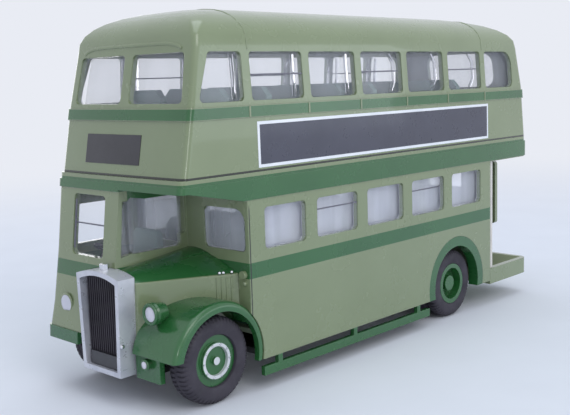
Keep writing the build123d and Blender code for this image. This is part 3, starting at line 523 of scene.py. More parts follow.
def upper_outer(graph):
    """1 on the outer faces of the upper panes, at the sides and on the leaning front."""
    upright = graph.math("ADD", graph.axis("X"), graph.math("MULTIPLY", graph.axis("Z"), FRONT_LEAN))
    front_x = UPPER_GLASS_FRONT - UPPER_FRONT_IN + FRONT_LEAN * UPPER_SILL
    front = graph.step(upright, front_x * MM, PANE_SOFT * MM)
    return graph.math("MAXIMUM", side_faces(graph, UPPER_PANE_IN), front)


def lower_outer(graph):
    """1 on the outer faces of the saloon's side panes, and less on the bulkhead's pane."""
    bulkhead = graph.beyond("X", BULKHEAD_X - BULKHEAD_PANE_IN, PANE_SOFT)
    front = graph.math("MULTIPLY", bulkhead, BULKHEAD_CLEAR)
    return graph.math("MAXIMUM", side_faces(graph, LOWER_PANE_IN), front)


def cab_outer(graph):
    """1 on the cab's windscreen and offside window, 0 on the window beside the bonnet."""
    return graph.without(graph.beyond("Y", CAB_PANE_Y, PANE_SOFT))


# Paints as light, deep and edge colours, where the lighter edge colour is a painted highlight, and the
# materials
BOTTLE_MARK = (BOTTLE, BOTTLE_DEEP, BOTTLE_HIGHLIGHT)
SEAM_MARK = (SEAM_DARK, SEAM_DARK, SEAM_DARK)
FLOOR_MARK = (colour(128, 138, 106), colour(116, 126, 94), colour(140, 150, 118))
SILVER_MARK = (SILVER, colour(196, 200, 204), colour(236, 238, 240))
SAGE_PAINT = (SAGE, SAGE_DEEP, SAGE_HIGHLIGHT)
# The dark line at the deck joint is painted shadow in the gap between the castings
UPPER_MARKS = [(upper_band, *BOTTLE_MARK), (deck_joint_shadow, *SEAM_MARK)]
LOWER_MARKS = [(lower_bands, *BOTTLE_MARK), (bulkhead_joint, *SEAM_MARK)]
MATERIALS = {
    "upper_paint": enamel("upper_paint", *SAGE_PAINT, UPPER_MARKS),
    "lower_paint": enamel("lower_paint", *SAGE_PAINT, LOWER_MARKS),
    "rear_paint": enamel("rear_paint", *SAGE_PAINT, [(rear_bands, *BOTTLE_MARK)]),
    "bonnet_paint": enamel("bonnet_paint", *SAGE_PAINT, [(bonnet_top, *BOTTLE_MARK)]),
    "platform_paint": enamel("platform_paint", *SAGE_PAINT, [(platform_floor, *FLOOR_MARK)], platform_floor),
    "sage_paint": enamel("sage_paint", *SAGE_PAINT),
    "dark_paint": enamel("dark_paint", *BOTTLE_MARK),
    "front_hub": enamel("front_hub", *BOTTLE_MARK, [(hub_ring("front"), *SILVER_MARK)]),
    "chrome": plain("chrome", colour(226, 227, 231), colour(206, 208, 214), 0.17, metal=1.0, bump=0.03),
    "core_black": plain("core_black", colour(52, 47, 57), colour(38, 35, 43), 0.6),
    "upper_clear": clear_plastic("upper_clear", face=0.08, milk=0.2, outer=upper_outer),
    "lower_clear": clear_plastic("lower_clear", face=0.1, milk=0.62, outer=lower_outer),
    "cab_clear": clear_plastic("cab_clear", face=0.06, milk=0.18, outer=cab_outer),
    "rib_clear": thick_plastic("rib_clear"),
    "silver": plain("silver", colour(220, 221, 227), colour(192, 195, 205), 0.3, metal=0.4, bump=0.004),
    "seat": plain("seat", SEAT_GREEN, SEAT_DEEP, 0.45),
    "floor_green": plain("floor_green", colour(132, 144, 122), colour(116, 128, 108), 0.5),
    "base_black": plain("base_black", BASE_BLACK, colour(44, 45, 46), 0.5),
    "rubber": plain("rubber", RUBBER, RUBBER_WORN, 0.72, bump=0.3),
    "steel": plain("steel", colour(180, 182, 186), colour(160, 162, 168), 0.3, metal=1.0),
    "lens": plain("lens", colour(222, 221, 230), colour(204, 204, 216), 0.18, coat=0.6),
    "red": plain("red", colour(176, 24, 26), colour(140, 16, 20), 0.2, coat=0.6),
    "plate": plain("plate", colour(40, 39, 47), colour(32, 32, 39), 0.35, coat=0.3),
    "cream": plain("cream", colour(226, 222, 214), colour(206, 202, 196), 0.3, coat=0.4),
    "navy": plain("navy", NAVY, NAVY_DEEP, 0.3, coat=0.3),
    "paper": plain("paper", PAPER, colour(228, 232, 238), 0.35, coat=0.2),
    "rail_grey": plain("rail_grey", colour(112, 112, 122), colour(96, 96, 108), 0.4),
}
NODE_MATERIALS = {
    "rear_platform": "platform_paint",
    "upper_glazing": "upper_clear",
    "lower_glazing": "lower_clear",
    "cab_glazing": "cab_clear",
    "upper_deck_floor": "floor_green",
    "lower_deck_floor": "floor_green",
    "staircase": "floor_green",
    "upper_seats": "seat",
    "lower_seats": "seat",
    "cab_seat": "seat",
    "steering_wheel": "core_black",
    "platform_pole": "cream",
    "chassis_base": "base_black",
    "radiator_shell": "silver",
    "radiator_core": "core_black",
    "radiator_cap": "chrome",
    "number_plate": "plate",
    "headlamp_offside": "lens",
    "fog_lamp": "dark_paint",
    "side_lamp": "sage_paint",
    "rear_lamps": "red",
    "front_axle": "steel",
    "rear_axle": "steel",
    "dumb_iron_panel": "dark_paint",
    "life_rail_nearside": "dark_paint",
    "life_rail_offside": "dark_paint",
    "front_hub_nearside": "front_hub",
    "front_hub_offside": "front_hub",
    "rear_hub_nearside": "dark_paint",
    "rear_hub_offside": "dark_paint",
}
for node, name in NODE_MATERIALS.items():
    target = frame["nodes"][node]
    if not target.material_slots:
        target.data.materials.append(None)
    for slot in target.material_slots:
        slot.material = MATERIALS[name]


# Pieces: the largest turn between faces that still shade as one, in degrees, and the weld of doubled points
SMOOTH_TURN = 30.0
SKIN_TURN = 32.0
TYRE_TURN = 38.0
WELD = 0.002


def add_piece(name, mesh, material, slot, body="body", replaced=(), smooth=SMOOTH_TURN):
    """Make an object of a mesh and tie it to the frame."""
    mesh.validate()
    mesh.shade_smooth()
    mesh.set_sharp_from_angle(angle=math.radians(smooth))
    piece = bpy.data.objects.new(name, mesh)
    bpy.context.scene.collection.objects.link(piece)
    mesh.materials.clear()
    mesh.materials.append(MATERIALS[material])
    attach(piece, body)
    if replaced:
        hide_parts(*replaced)
    return piece


def finish_shell(name, shell):
    """Turn a bmesh into a mesh with its faces facing out."""
    bmesh.ops.recalc_face_normals(shell, faces=shell.faces)
    mesh = bpy.data.meshes.new(name)
    shell.to_mesh(mesh)
    shell.free()
    return mesh


def cut_away(mesh, cutter):
    """The mesh without what lies in the cutter's volume."""
    scene_objects = bpy.context.scene.collection.objects
    target = bpy.data.objects.new("cut_target", mesh)
    tool = bpy.data.objects.new("cut_tool", cutter)
    for item in (target, tool):
        scene_objects.link(item)
    change = target.modifiers.new("cut", "BOOLEAN")
    change.operation = "DIFFERENCE"
    change.solver = "EXACT"
    change.object = tool
    shape = target.evaluated_get(bpy.context.evaluated_depsgraph_get())
    result = bpy.data.meshes.new_from_object(shape)
    for item in (target, tool):
        bpy.data.objects.remove(item)
    bpy.data.meshes.remove(cutter)
    return result


def smooth_copy(node, material, slot, cutter=None):
    """The node's own surface, welded so that its curves shade as one, less the cutter."""
    shell = bmesh.new()
    shell.from_mesh(frame["nodes"][node].data)
    bmesh.ops.remove_doubles(shell, verts=shell.verts, dist=WELD * MM)
    mesh = finish_shell(f"{node}_skin", shell)
    if "custom_normal" in mesh.attributes:
        mesh.attributes.remove(mesh.attributes["custom_normal"])
    if cutter is not None:
        mesh = cut_away(mesh, cutter)
    return add_piece(f"{node}_skin", mesh, material, slot, replaced=(node,), smooth=SKIN_TURN)


class Skin:
    """Finds the outside of a CAD node along a line of sight."""

    def __init__(self, node):
        mesh = frame["nodes"][node].data
        points = [vertex.co.copy() for vertex in mesh.vertices]
        faces = [list(face.vertices) for face in mesh.polygons]
        self.tree = BVHTree.FromPolygons(points, faces)

    def meet(self, start, direction):
        """First point met from a start in millimetres, also in millimetres."""
        place = self.tree.ray_cast(Vector(start) * MM, Vector(direction))[0]
        if place is None:
            raise ValueError(f"no surface from {start}")
        return place / MM


UPPER_SKIN = Skin("upper_deck_casting")
UPPER_GLASS = Skin("upper_glazing")
LOWER_GLASS = Skin("lower_glazing")
CAB_GLASS = Skin("cab_glazing")
# Where a line of sight begins, well outside the part
FAR = 90.0


def on_side(skin, side):
    """Look in from the nearside (1) or the offside (-1): place from x and z."""
    return lambda u, v: (skin.meet((u, side * FAR, v), (0, -side, 0)), Vector((0, side, 0)))


def on_front(skin):
    """Look in from ahead: place from y and z."""
    return lambda u, v: (skin.meet((FAR, u, v), (-1, 0, 0)), Vector((1, 0, 0)))


def loft(name, sections, closed=False):
    """Join rings of points in millimetres into one closed surface."""
    shell = bmesh.new()
    rings = [[shell.verts.new(Vector(point) * MM) for point in ring] for ring in sections]
    count = len(rings[0])
    pairs = list(zip(rings, rings[1:]))
    if closed:
        pairs.append((rings[-1], rings[0]))
    for ring, after in pairs:
        for k in range(count):
            other = (k + 1) % count
            shell.faces.new((ring[k], ring[other], after[other], after[k]))
    if not closed:
        shell.faces.new(rings[0])
        shell.faces.new(rings[-1])
    return finish_shell(name, shell)


def spaced(low, high, count):
    """Evenly spaced values from one end to the other."""
    return [low + (high - low) * k / (count - 1) for k in range(count)]


def panel(name, view, box, proud, columns=9, rows=5, sunk=0.12):
    """Thin plate that follows the surface below it, over a box of u and v."""
    u_low, u_high, v_low, v_high = box
    sections = []
    for u in spaced(u_low, u_high, columns):
        places = [view(u, v) for v in spaced(v_low, v_high, rows)]
        outer = [place + out * proud for place, out in places]
        inner = [place - out * sunk for place, out in reversed(places)]
        sections.append(outer + inner)
    return loft(name, sections)


def joined(name, meshes):
    """One mesh of several."""
    shell = bmesh.new()
    for mesh in meshes:
        shell.from_mesh(mesh)
        bpy.data.meshes.remove(mesh)
    return finish_shell(name, shell)


# Radius below which a ring is one point on the axis
ON_AXIS = 1e-6


def turned(name, profile, centre, axis, steps=40):
    """Surface of revolution: profile rows are (distance along the axis, radius)."""
    along = Vector(axis).normalized()
    across = along.orthogonal().normalized()
    up = along.cross(across)
    shell = bmesh.new()
    rings = []
    for height, radius in profile:
        centre_here = Vector(centre) + along * height
        if radius < ON_AXIS:
            rings.append([shell.verts.new(centre_here * MM)])
            continue
        ring = []
        for k in range(steps):
            angle = 2 * math.pi * k / steps
            out = across * math.cos(angle) + up * math.sin(angle)
            ring.append(shell.verts.new((centre_here + out * radius) * MM))
        rings.append(ring)
    for ring, after in zip(rings, rings[1:]):
        for k in range(steps):
            other = k + 1
            corners = []
            for line, index in ((ring, k), (ring, other), (after, other), (after, k)):
                vertex = line[index % len(line)]
                if vertex not in corners:
                    corners.append(vertex)
            if len(corners) > 2:
                shell.faces.new(corners)
    return finish_shell(name, shell)


BEAD_ANGLES = (0, 35, 70, 110, 145, 180)


def bead(name, places, width, sunk=0.1):
    """Half-round strip through rows of (place, outward direction, height of the strip)."""
    sections = []
    last = len(places) - 1
    for k, (place, out, proud) in enumerate(places):
        along = (places[min(k + 1, last)][0] - places[max(k - 1, 0)][0]).normalized()
        out = (out - along * out.dot(along)).normalized()
        across = along.cross(out) * width / 2
        ring = [place + across - out * sunk]
        for angle in BEAD_ANGLES:
            turn = math.radians(angle)
            ring.append(place + across * math.cos(turn) + out * proud * math.sin(turn))
        ring.append(place - across - out * sunk)
        sections.append(ring)
    return loft(name, sections)


# Cuts in the skins: the cab's window beside the bonnet reaches the corner post, the cab is open behind the
# driver, and the offside wing ends at the cab's lip
CAB_SIDE_WINDOW = ((48.95, 22.65), (35.75, 25.0), (35.75, 31.45), (48.1, 31.45))
CAB_WALL = (-0.6, 1.8)
CAB_BACK_WINDOW = ((-13.4, 23.0), (-1.2, 23.0), (-1.2, 31.0), (-13.4, 31.0))
CAB_BACK = (BULKHEAD_X - 1.4, BULKHEAD_X + 0.4)
WING_TRIM_Z = 8.2
CUT_ROOM = 1.0


def cab_window_cutter():
    """Volumes of the window beside the bonnet and of the opening behind the driver."""
    side_cut = loft("cutter", [[(x, y, z) for x, z in CAB_SIDE_WINDOW] for y in CAB_WALL])
    back_cut = loft("cutter", [[(x, y, z) for y, z in CAB_BACK_WINDOW] for x in CAB_BACK])
    return joined("cutter", [side_cut, back_cut])


def wing_cutter():
    """Volume below the cab's lip, ahead of the offside front tyre."""
    x_low = AXLE["front"].x + TYRE_R
    low, high = box_mm("front_wing_offside")
    x_high = high.x + CUT_ROOM
    corners = ((x_low, 0.0), (x_high, 0.0), (x_high, WING_TRIM_Z), (x_low, WING_TRIM_Z))
    sides = (low.y - CUT_ROOM, high.y + CUT_ROOM)
    return loft("cutter", [[(x, y, z) for x, z in corners] for y in sides])


CUTTERS = {"lower_deck_casting": cab_window_cutter, "front_wing_offside": wing_cutter}
SMOOTHED = (
    ("upper_deck_casting", "upper_paint", "body_green"),
    ("lower_deck_casting", "lower_paint", "body_green"),
    ("rear_casting", "rear_paint", "body_green"),
    ("bonnet", "bonnet_paint", "body_green"),
    ("front_wing_nearside", "dark_paint", "dark_green"),
    ("front_wing_offside", "dark_paint", "dark_green"),
    ("rear_wing_nearside", "dark_paint", "dark_green"),
    ("rear_wing_offside", "dark_paint", "dark_green"),
    ("headlamp_nearside", "dark_paint", "dark_green"),
)
for node, material, slot in SMOOTHED:
    smooth_copy(node, material, slot, CUTTERS[node]() if node in CUTTERS else None)

# Printed panels: a blank advertisement with its border, and a blank destination panel. A grid is a plate's
# number of columns and rows
BORDER_PROUD = 0.05
PRINT_PROUD = 0.08
ADVERT_GRID = (21, 7)
DESTINATION_GRID = (15, 5)
side_view = on_side(UPPER_SKIN, 1)
border = panel("advert_border", side_view, ADVERT, BORDER_PROUD, *ADVERT_GRID)
add_piece("advert_border", border, "paper", "body_green")
x_low, x_high, z_low, z_high = ADVERT
field = (x_low + ADVERT_BORDER, x_high - ADVERT_BORDER, z_low + ADVERT_BORDER, z_high - ADVERT_BORDER)
advert = panel("advert_field", side_view, field, PRINT_PROUD, *ADVERT_GRID)
add_piece("advert_field", advert, "navy", "body_green")
destination = panel("destination_panel", on_front(UPPER_SKIN), DESTINATION, PRINT_PROUD, *DESTINATION_GRID)
add_piece("destination_panel", destination, "plate", "plate_black")

# Narrow strips over the upper band at the pillars
STRIP = 0.36
STRIP_Z = (43.9, 45.65)
STRIP_PROUD = 0.07
STRIP_GRID = (2, 3)
strips = []
for side in SIDES.values():
    view = on_side(UPPER_SKIN, side)
    for x in PILLARS:
        box = (x - STRIP / 2, x + STRIP / 2, *STRIP_Z)
        strips.append(panel("strip", view, box, STRIP_PROUD, *STRIP_GRID))
add_piece("upper_band_strips", joined("upper_band_strips", strips), "sage_paint", "body_green")

# Rails of the opening windows
RAIL_GAP = 0.06
RAIL_PROUD = 0.06
RAIL_SUNK = 0.1
RAIL_GRID = (7, 3)
rails = []
for side in SIDES.values():
    for view, bays, pillar, rail_z in (
        (on_side(UPPER_GLASS, side), UPPER_RAILED, UPPER_PILLAR, UPPER_RAIL_Z),
        (on_side(LOWER_GLASS, side), LOWER_RAILED, LOWER_PILLAR, LOWER_RAIL_Z),
    ):
        for bay in bays:
            gap = pillar / 2 + RAIL_GAP
            box = (PILLARS[bay + 1] + gap, PILLARS[bay] - gap, rail_z - RAIL / 2, rail_z + RAIL / 2)
            rails.append(panel("rail", view, box, RAIL_PROUD, *RAIL_GRID, RAIL_SUNK))
add_piece("window_rails", joined("window_rails", rails), "rail_grey", "grille_black")

# Clear upright ribs that key the upper glazing in behind the pillars
RIB_WIDTH = 0.9
RIB_PROUD = 0.35
RIB_SUNK = 0.02
RIB_GAP = 0.05
RIB_SHORT = 0.3
PANE_DEPTH = 1.44
RIB_POINTS = 5
ribs = []
for side in SIDES.values():
    view = on_side(UPPER_GLASS, side)
    for x in PILLARS:
        for offset in (-1, 1):
            rib_x = x + offset * (UPPER_PILLAR / 2 + RIB_WIDTH / 2 + RIB_GAP)
            places = []
            for z in spaced(UPPER_SILL + RIB_SHORT, UPPER_HEAD - RIB_SHORT, RIB_POINTS):
                place, out = view(rib_x, z)
                places.append((place - out * PANE_DEPTH, -out, RIB_PROUD))
            ribs.append(bead("rib", places, RIB_WIDTH, RIB_SUNK))
add_piece("glazing_ribs", joined("glazing_ribs", ribs), "rib_clear", "clear_glazing")

# Windscreen bar and the gasket at its offside
SCREEN_BAR_Z = (LOWER_RAIL_Z - 0.3, LOWER_RAIL_Z - 0.1)
GASKET = 0.35
GASKET_PROUD = 0.05
BAR_GRID = (9, 3)
GASKET_GRID = (3, 9)
screen = on_front(CAB_GLASS)
y_low, y_high, z_low, z_high = WINDSCREEN
bars = [
    panel("bar", screen, (y_low, y_high, *SCREEN_BAR_Z), RAIL_PROUD, *BAR_GRID, RAIL_SUNK),
    panel("bar", screen, (y_low, y_low + GASKET, z_low, z_high), GASKET_PROUD, *GASKET_GRID, RAIL_SUNK),
]
add_piece("windscreen_bars", joined("windscreen_bars", bars), "rail_grey", "grille_black")

# Ribs over the roof, which fade out at its crown
ROOF_RIB = 0.1
ROOF_RIB_WIDTH = 0.3
ROOF_RIB_X = (PILLARS[0] - 0.6, PILLARS[-1])
ROOF_ANGLES = (8, 172)
ROOF_MIDDLE_Z = UPPER_HEAD - 1.8
ROOF_ROOM = 0.01
ROOF_POINTS = 61


def roof_section(x):
    """Places over the roof at one x, from one gutter to the other."""
    places = []
    for angle in spaced(*ROOF_ANGLES, ROOF_POINTS):
        turn = math.radians(angle)
        out = Vector((0, math.cos(turn), math.sin(turn)))
        place = UPPER_SKIN.meet(Vector((x, 0, ROOF_MIDDLE_Z)) + out * FAR, -out)
        room = (ROOF_TOP - place.z) / out.z - ROOF_ROOM
        places.append((place, out, min(ROOF_RIB, room)))
    return places


roof_ribs = [bead("rib", roof_section(x), ROOF_RIB_WIDTH) for x in ROOF_RIB_X]
add_piece("roof_ribs", joined("roof_ribs", roof_ribs), "sage_paint", "body_green")

# Shallow peak over the upper front windows
PEAK_HALF = 12.2
PEAK_Z = UPPER_HEAD + 1.5
PEAK_DROP = 0.9
PEAK_BEND = 8
PEAK_OUT = Vector((1, 0, 0.2)).normalized()
PEAK_PROUD = 0.18
PEAK_WIDTH = 0.6
PEAK_SUNK = 0.2
PEAK_POINTS = 41
peak = []
for y in spaced(-PEAK_HALF, PEAK_HALF, PEAK_POINTS):
    drop = PEAK_DROP * (abs(y) / PEAK_HALF) ** PEAK_BEND
    place = UPPER_SKIN.meet((FAR, y, PEAK_Z - drop), (-1, 0, 0))
    peak.append((place, PEAK_OUT, PEAK_PROUD))
add_piece("front_peak", bead("front_peak", peak, PEAK_WIDTH, PEAK_SUNK), "sage_paint", "body_green")

# Lens of the nearside headlamp
HEADLAMP_R = 1.75
LENS_SUNK = 0.08
LENS_PROFILE = [(-0.2, 0.0), (-0.2, 1.2), (0.05, 1.2), (0.14, 1.0), (0.22, 0.7), (0.27, 0.3), (0.28, 0.0)]
lamp_high = box_mm("headlamp_nearside")[1]
lamp_place = (lamp_high.x - LENS_SUNK, lamp_high.y - HEADLAMP_R, lamp_high.z - HEADLAMP_R)
lens = turned("headlamp_lens", LENS_PROFILE, lamp_place, (1, 0, 0))
add_piece("headlamp_lens", lens, "lens", "lamp_lens")


# Bezels of the lamps, as radius, width and depth, and the fog lamp's lens
HEADLAMP_BEZEL = (1.48, 0.27, 0.3)
OFFSIDE_BEZEL = (1.42, 0.2, 0.2)
FOG_BEZEL = (0.74, 0.22, 0.22)
BEZEL_STEPS = 12
BEZEL_SETBACK = 0.2
FOG_PROFILE = [(-0.1, 0.0), (-0.1, 0.58), (0.08, 0.56), (0.17, 0.4), (0.22, 0.2), (0.23, 0.0)]


def bezel(name, place, radius, width, depth, material, slot):
    """Rounded ring round a lamp's front."""
    profile = []
    for k in range(BEZEL_STEPS + 1):
        angle = 2 * math.pi * k / BEZEL_STEPS
        profile.append((depth * math.sin(angle), radius + width * math.cos(angle)))
    return add_piece(name, turned(name, profile, place, (1, 0, 0)), material, slot)


def front_of(lamp, depth):
    """Middle of a lamp's front, set back by depth."""
    place = middle(lamp)
    place.x = box_mm(lamp)[1].x - depth
    return place


offside_place = front_of("headlamp_offside", BEZEL_SETBACK)
fog_place = front_of("fog_lamp", BEZEL_SETBACK)
bezel("headlamp_bezel", lamp_place, *HEADLAMP_BEZEL, "dark_paint", "dark_green")
bezel("headlamp_offside_bezel", offside_place, *OFFSIDE_BEZEL, "sage_paint", "body_green")
bezel("fog_lamp_bezel", fog_place, *FOG_BEZEL, "dark_paint", "dark_green")
fog_lens = turned("fog_lamp_lens", FOG_PROFILE, front_of("fog_lamp", 0.0), (1, 0, 0))
add_piece("fog_lamp_lens", fog_lens, "lens", "lamp_lens")

# Small marker on the bulkhead, below the side lamp
MARKER_PROFILE = [(-0.1, 0.0), (-0.1, 0.4), (0.25, 0.38), (0.4, 0.25), (0.45, 0.0)]
MARKER_PLACE = (BULKHEAD_X, HALF - 1.1, 17.9)
marker = turned("side_marker", MARKER_PROFILE, MARKER_PLACE, (1, 0, 0))
add_piece("side_marker", marker, "sage_paint", "body_green")

# Chrome studs on the radiator's rim
STUD_PROFILE = [(-0.3, 0.0), (-0.3, 0.3), (0.0, 0.42), (0.2, 0.4), (0.36, 0.25), (0.4, 0.0)]
STUD_X = RADIATOR_FACE - 0.45
STUD_Y = 5.0
STUD_Z = 10.0
STUD_STEPS = 24
studs = []
for side in SIDES.values():
    studs.append(turned("stud", STUD_PROFILE, (STUD_X, side * STUD_Y, STUD_Z), (1, 0, 0), STUD_STEPS))
add_piece("radiator_studs", joined("radiator_studs", studs), "chrome", "chrome")

# Flank of the bonnet: its side runs out wider to the bulkhead above the wing. Pairs are the values at the
# bulkhead and at the radiator
FLANK_Y = (13.2, 5.65)
CROWN = (3.23, 1.63)
TOP_BEND = (1.8, 3.0)
FLANK_WALL = 1.3
FLANK_SHORT = 0.01
FLANK_SECTIONS = 33
FLANK_POINTS = 15
SHOULDER_Z = BONNET_LINE - 0.15
WING_OUTER_R = 8.4
bonnet_low, bonnet_high = box_mm("bonnet")


def along_bonnet(ends, x):
    """Value at one x from the values at the bulkhead and at the radiator."""
    share = (x - bonnet_low.x) / (bonnet_high.x - bonnet_low.x)
    return ends[0] + (ends[1] - ends[0]) * share


def flank_section(x):
    """Outline of the bonnet at one x: foot on the wing, upright side, rounded top."""
    side = along_bonnet(FLANK_Y, x)
    crown = along_bonnet(CROWN, x)
    bend = along_bonnet(TOP_BEND, x)
    foot = AXLE["front"].z + math.sqrt(max(0.0, WING_OUTER_R**2 - (x - AXLE["front"].x) ** 2))
    ring = [(x, FLANK_WALL, foot), (x, side, foot)]
    for out in spaced(1.0, 0.0, FLANK_POINTS):
        ring.append((x, FLANK_WALL + (side - FLANK_WALL) * out, SHOULDER_Z + crown * (1 - out**bend)))
    return ring


flank_places = spaced(bonnet_low.x + FLANK_SHORT, bonnet_high.x - FLANK_SHORT, FLANK_SECTIONS)
flank = loft("bonnet_flank", [flank_section(x) for x in flank_places])
add_piece("bonnet_flank", flank, "bonnet_paint", "body_green")

# Louvre ridges on the flank, and catches on its shoulder, at distances ahead of the bulkhead
LOUVRE_AHEAD = (1.05, 1.75, 2.45, 3.15)
LOUVRE_Z = (14.4, SHOULDER_Z - 0.35)
LOUVRE_OUT = Vector((0.45, 1, 0)).normalized()
LOUVRE_PROUD = 0.14
LOUVRE_WIDTH = 0.4
LOUVRE_POINTS = 5
louvres = []
for ahead in LOUVRE_AHEAD:
    x = bonnet_low.x + ahead
    places = []
    for z in spaced(*LOUVRE_Z, LOUVRE_POINTS):
        places.append((Vector((x, along_bonnet(FLANK_Y, x), z)), LOUVRE_OUT, LOUVRE_PROUD))
    louvres.append(bead("louvre", places, LOUVRE_WIDTH))
add_piece("bonnet_louvres", joined("bonnet_louvres", louvres), "sage_paint", "body_green")
CATCH_AHEAD = (0.95, 2.2, 2.75)
CATCH_PROFILE = [(-0.15, 0.0), (-0.15, 0.22), (0.12, 0.26), (0.22, 0.16), (0.25, 0.0)]
CATCH_OUT = (0.3, 1, 0.3)
CATCH_IN = 0.05
CATCH_STEPS = 16
CATCH_Z = SHOULDER_Z + 0.4
catches = []
for ahead in CATCH_AHEAD:
    x = bonnet_low.x + ahead
    place = (x, along_bonnet(FLANK_Y, x) - CATCH_IN, CATCH_Z)
    catches.append(turned("catch", CATCH_PROFILE, place, CATCH_OUT, CATCH_STEPS))
add_piece("bonnet_catches", joined("bonnet_catches", catches), "chrome", "chrome")

# Driver's seat: a cushion and a low back in one moulding, from its outline in x and z. Each row across gives
# its y and how much of the outline is left there
SEAT_SIDE = (
    (36.0, 16.6),
    (40.6, 16.6),
    (41.0, 17.2),
    (41.0, 18.6),
    (40.6, 19.1),
    (38.0, 19.1),
    (37.5, 19.7),
    (37.25, 24.3),
    (36.95, 24.8),
    (36.35, 24.8),
    (36.0, 24.3),
)
SEAT_ROWS = ((-10.9, 0.9), (-10.7, 0.97), (-10.3, 1.0), (-4.9, 1.0), (-4.5, 0.97), (-4.3, 0.9))
SEAT_MIDDLE = (37.6, 20.2)
rows = []
for y, share in SEAT_ROWS:
    ring = []
    for x, z in SEAT_SIDE:
        seat_x = SEAT_MIDDLE[0] + (x - SEAT_MIDDLE[0]) * share
        seat_z = SEAT_MIDDLE[1] + (z - SEAT_MIDDLE[1]) * share
        ring.append((seat_x, y, seat_z))
    rows.append(ring)
add_piece("cab_seat_moulding", loft("cab_seat_moulding", rows), "seat", "seat_green", replaced=("cab_seat",))


# Tyres with a cut tread
TREAD_PITCHES = 54
TREAD_DEPTH = 0.22
# Shift of the far half's tread against the near half's, as a share of the pitch
TREAD_SHIFT = 0.5
# Share of the pitch where each line of points stands, and whether it is in the groove
TREAD_STEPS = ((0.0, False), (0.62, False), (0.7, True), (0.92, True))
# Rows of (place across the tyre from its outer face, depth below the tread, share of the tread's cut)
WALL_ROWS = (
    (0.42, TYRE_R - HUB_R + 0.02, 0.0),
    (0.2, 2.7, 0.0),
    (0.1, 2.35, 0.0),
    (0.06, 1.9, 0.0),
    (0.02, 1.45, 0.0),
    (0.06, 1.0, 0.0),
    (0.16, 0.72, 0.5),
    (0.36, 0.36, 1.0),
    (0.7, 0.1, 1.0),
    (1.1, 0.0, 1.0),
)
TREAD_ROWS = {
    "front": ((1.6, 0.0, 1.0), (1.72, 0.16, 0.0)),
    "rear": ((1.9, 0.0, 1.0), (2.25, 0.15, 0.6), (2.42, 0.8, 0.0), (2.48, 1.25, 0.0)),
}


def tyre(end, side):
    """A tyre turned from its profile, with the tread cut across it."""
    name = f"{end}_tyre_{side}"
    width = TYRE_HIGH[end].y - TYRE_LOW[end].y
    rows = WALL_ROWS + TREAD_ROWS[end]
    profile = rows + tuple((width - across, depth, cut) for across, depth, cut in reversed(rows))
    sections = []
    for pitch in range(TREAD_PITCHES):
        for share, groove in TREAD_STEPS:
            ring = []
            for across, depth, cut in profile:
                shift = TREAD_SHIFT if across > width / 2 else 0.0
                angle = 2 * math.pi * (pitch + share + shift) / TREAD_PITCHES
                away = TYRE_R - depth - (TREAD_DEPTH * cut if groove else 0.0)
                y = SIDES[side] * (TYRE_HIGH[end].y - across)
                ring.append((AXLE[end].x + away * math.cos(angle), y, AXLE[end].z + away * math.sin(angle)))
            sections.append(ring)
    mesh = loft(f"{name}_tread", sections, closed=True)
    return add_piece(f"{name}_tread", mesh, "rubber", "tyre_rubber", f"{end}_wheelset", (name,), TYRE_TURN)


# Wheel nuts
NUTS = 10
NUT_SIDES = 6
NUT_CIRCLE = {"front": 2.62, "rear": 2.2}
NUT_FINISH = {"front": ("chrome", "chrome"), "rear": ("dark_paint", "wheel_green")}
NUT_PROFILE = [(-0.1, 0.0), (-0.1, 0.2), (0.1, 0.2), (0.16, 0.14), (0.16, 0.0)]


def wheel_nuts(end, side):
    """A ring of six-sided nuts, standing on the hub's face."""
    sign = SIDES[side]
    hub = Skin(f"{end}_hub_{side}")
    nuts = []
    for k in range(NUTS):
        angle = 2 * math.pi * k / NUTS
        x = AXLE[end].x + NUT_CIRCLE[end] * math.cos(angle)
        z = AXLE[end].z + NUT_CIRCLE[end] * math.sin(angle)
        place = hub.meet((x, sign * FAR, z), (0, -sign, 0))
        nuts.append(turned("nut", NUT_PROFILE, place, (0, sign, 0), NUT_SIDES))
    name = f"{end}_nuts_{side}"
    return add_piece(name, joined(name, nuts), *NUT_FINISH[end], f"{end}_wheelset")


for end in ENDS:
    for side in SIDES:
        tyre(end, side)
        wheel_nuts(end, side)


# Stage: a pale floor that runs into a pale background
def seen_share(nodes, links):
    """1 for what the eye, a reflection or a clear piece sees."""
    path = nodes.new("ShaderNodeLightPath")
    first = nodes.new("ShaderNodeMath")
    first.operation = "MAXIMUM"
    second = nodes.new("ShaderNodeMath")
    second.operation = "MAXIMUM"
    links.new(path.outputs["Is Camera Ray"], first.inputs[0])
    links.new(path.outputs["Is Glossy Ray"], first.inputs[1])
    links.new(first.outputs[0], second.inputs[0])
    links.new(path.outputs["Is Transmission Ray"], second.inputs[1])
    return second.outputs[0]


# Scale of the floor's mottle, and the distance and softness of its fade, in metres
STAGE_SCALE = 60.0
FADE = 0.24
FADE_SOFT = 0.16


def stage_material():
    """Shaded near the model, plain background colour further out."""
    graph = Graph("stage_pale")
    paper = graph.mix(graph.spread(graph.noise(STAGE_SCALE), 0.0, 1.0), PALE_STAGE, PALE_STAGE_DEEP)
    graph.set(Base_Color=paper, Roughness=0.9)
    length = graph.nodes.new("ShaderNodeVectorMath")
    length.operation = "LENGTH"
    graph.links.new(graph.place, length.inputs[0])
    fade = graph.step(length.outputs["Value"], FADE, FADE_SOFT)
    seen = graph.math("MULTIPLY", fade, seen_share(graph.nodes, graph.links))
    glow = graph.nodes.new("ShaderNodeEmission")
    glow.inputs["Color"].default_value = BACKGROUND
    blend = graph.nodes.new("ShaderNodeMixShader")
    graph.links.new(seen, blend.inputs["Fac"])
    graph.links.new(graph.shader.outputs["BSDF"], blend.inputs[1])
    graph.links.new(glow.outputs["Emission"], blend.inputs[2])
    graph.links.new(blend.outputs["Shader"], graph.nodes["Material Output"].inputs["Surface"])
    return graph.material


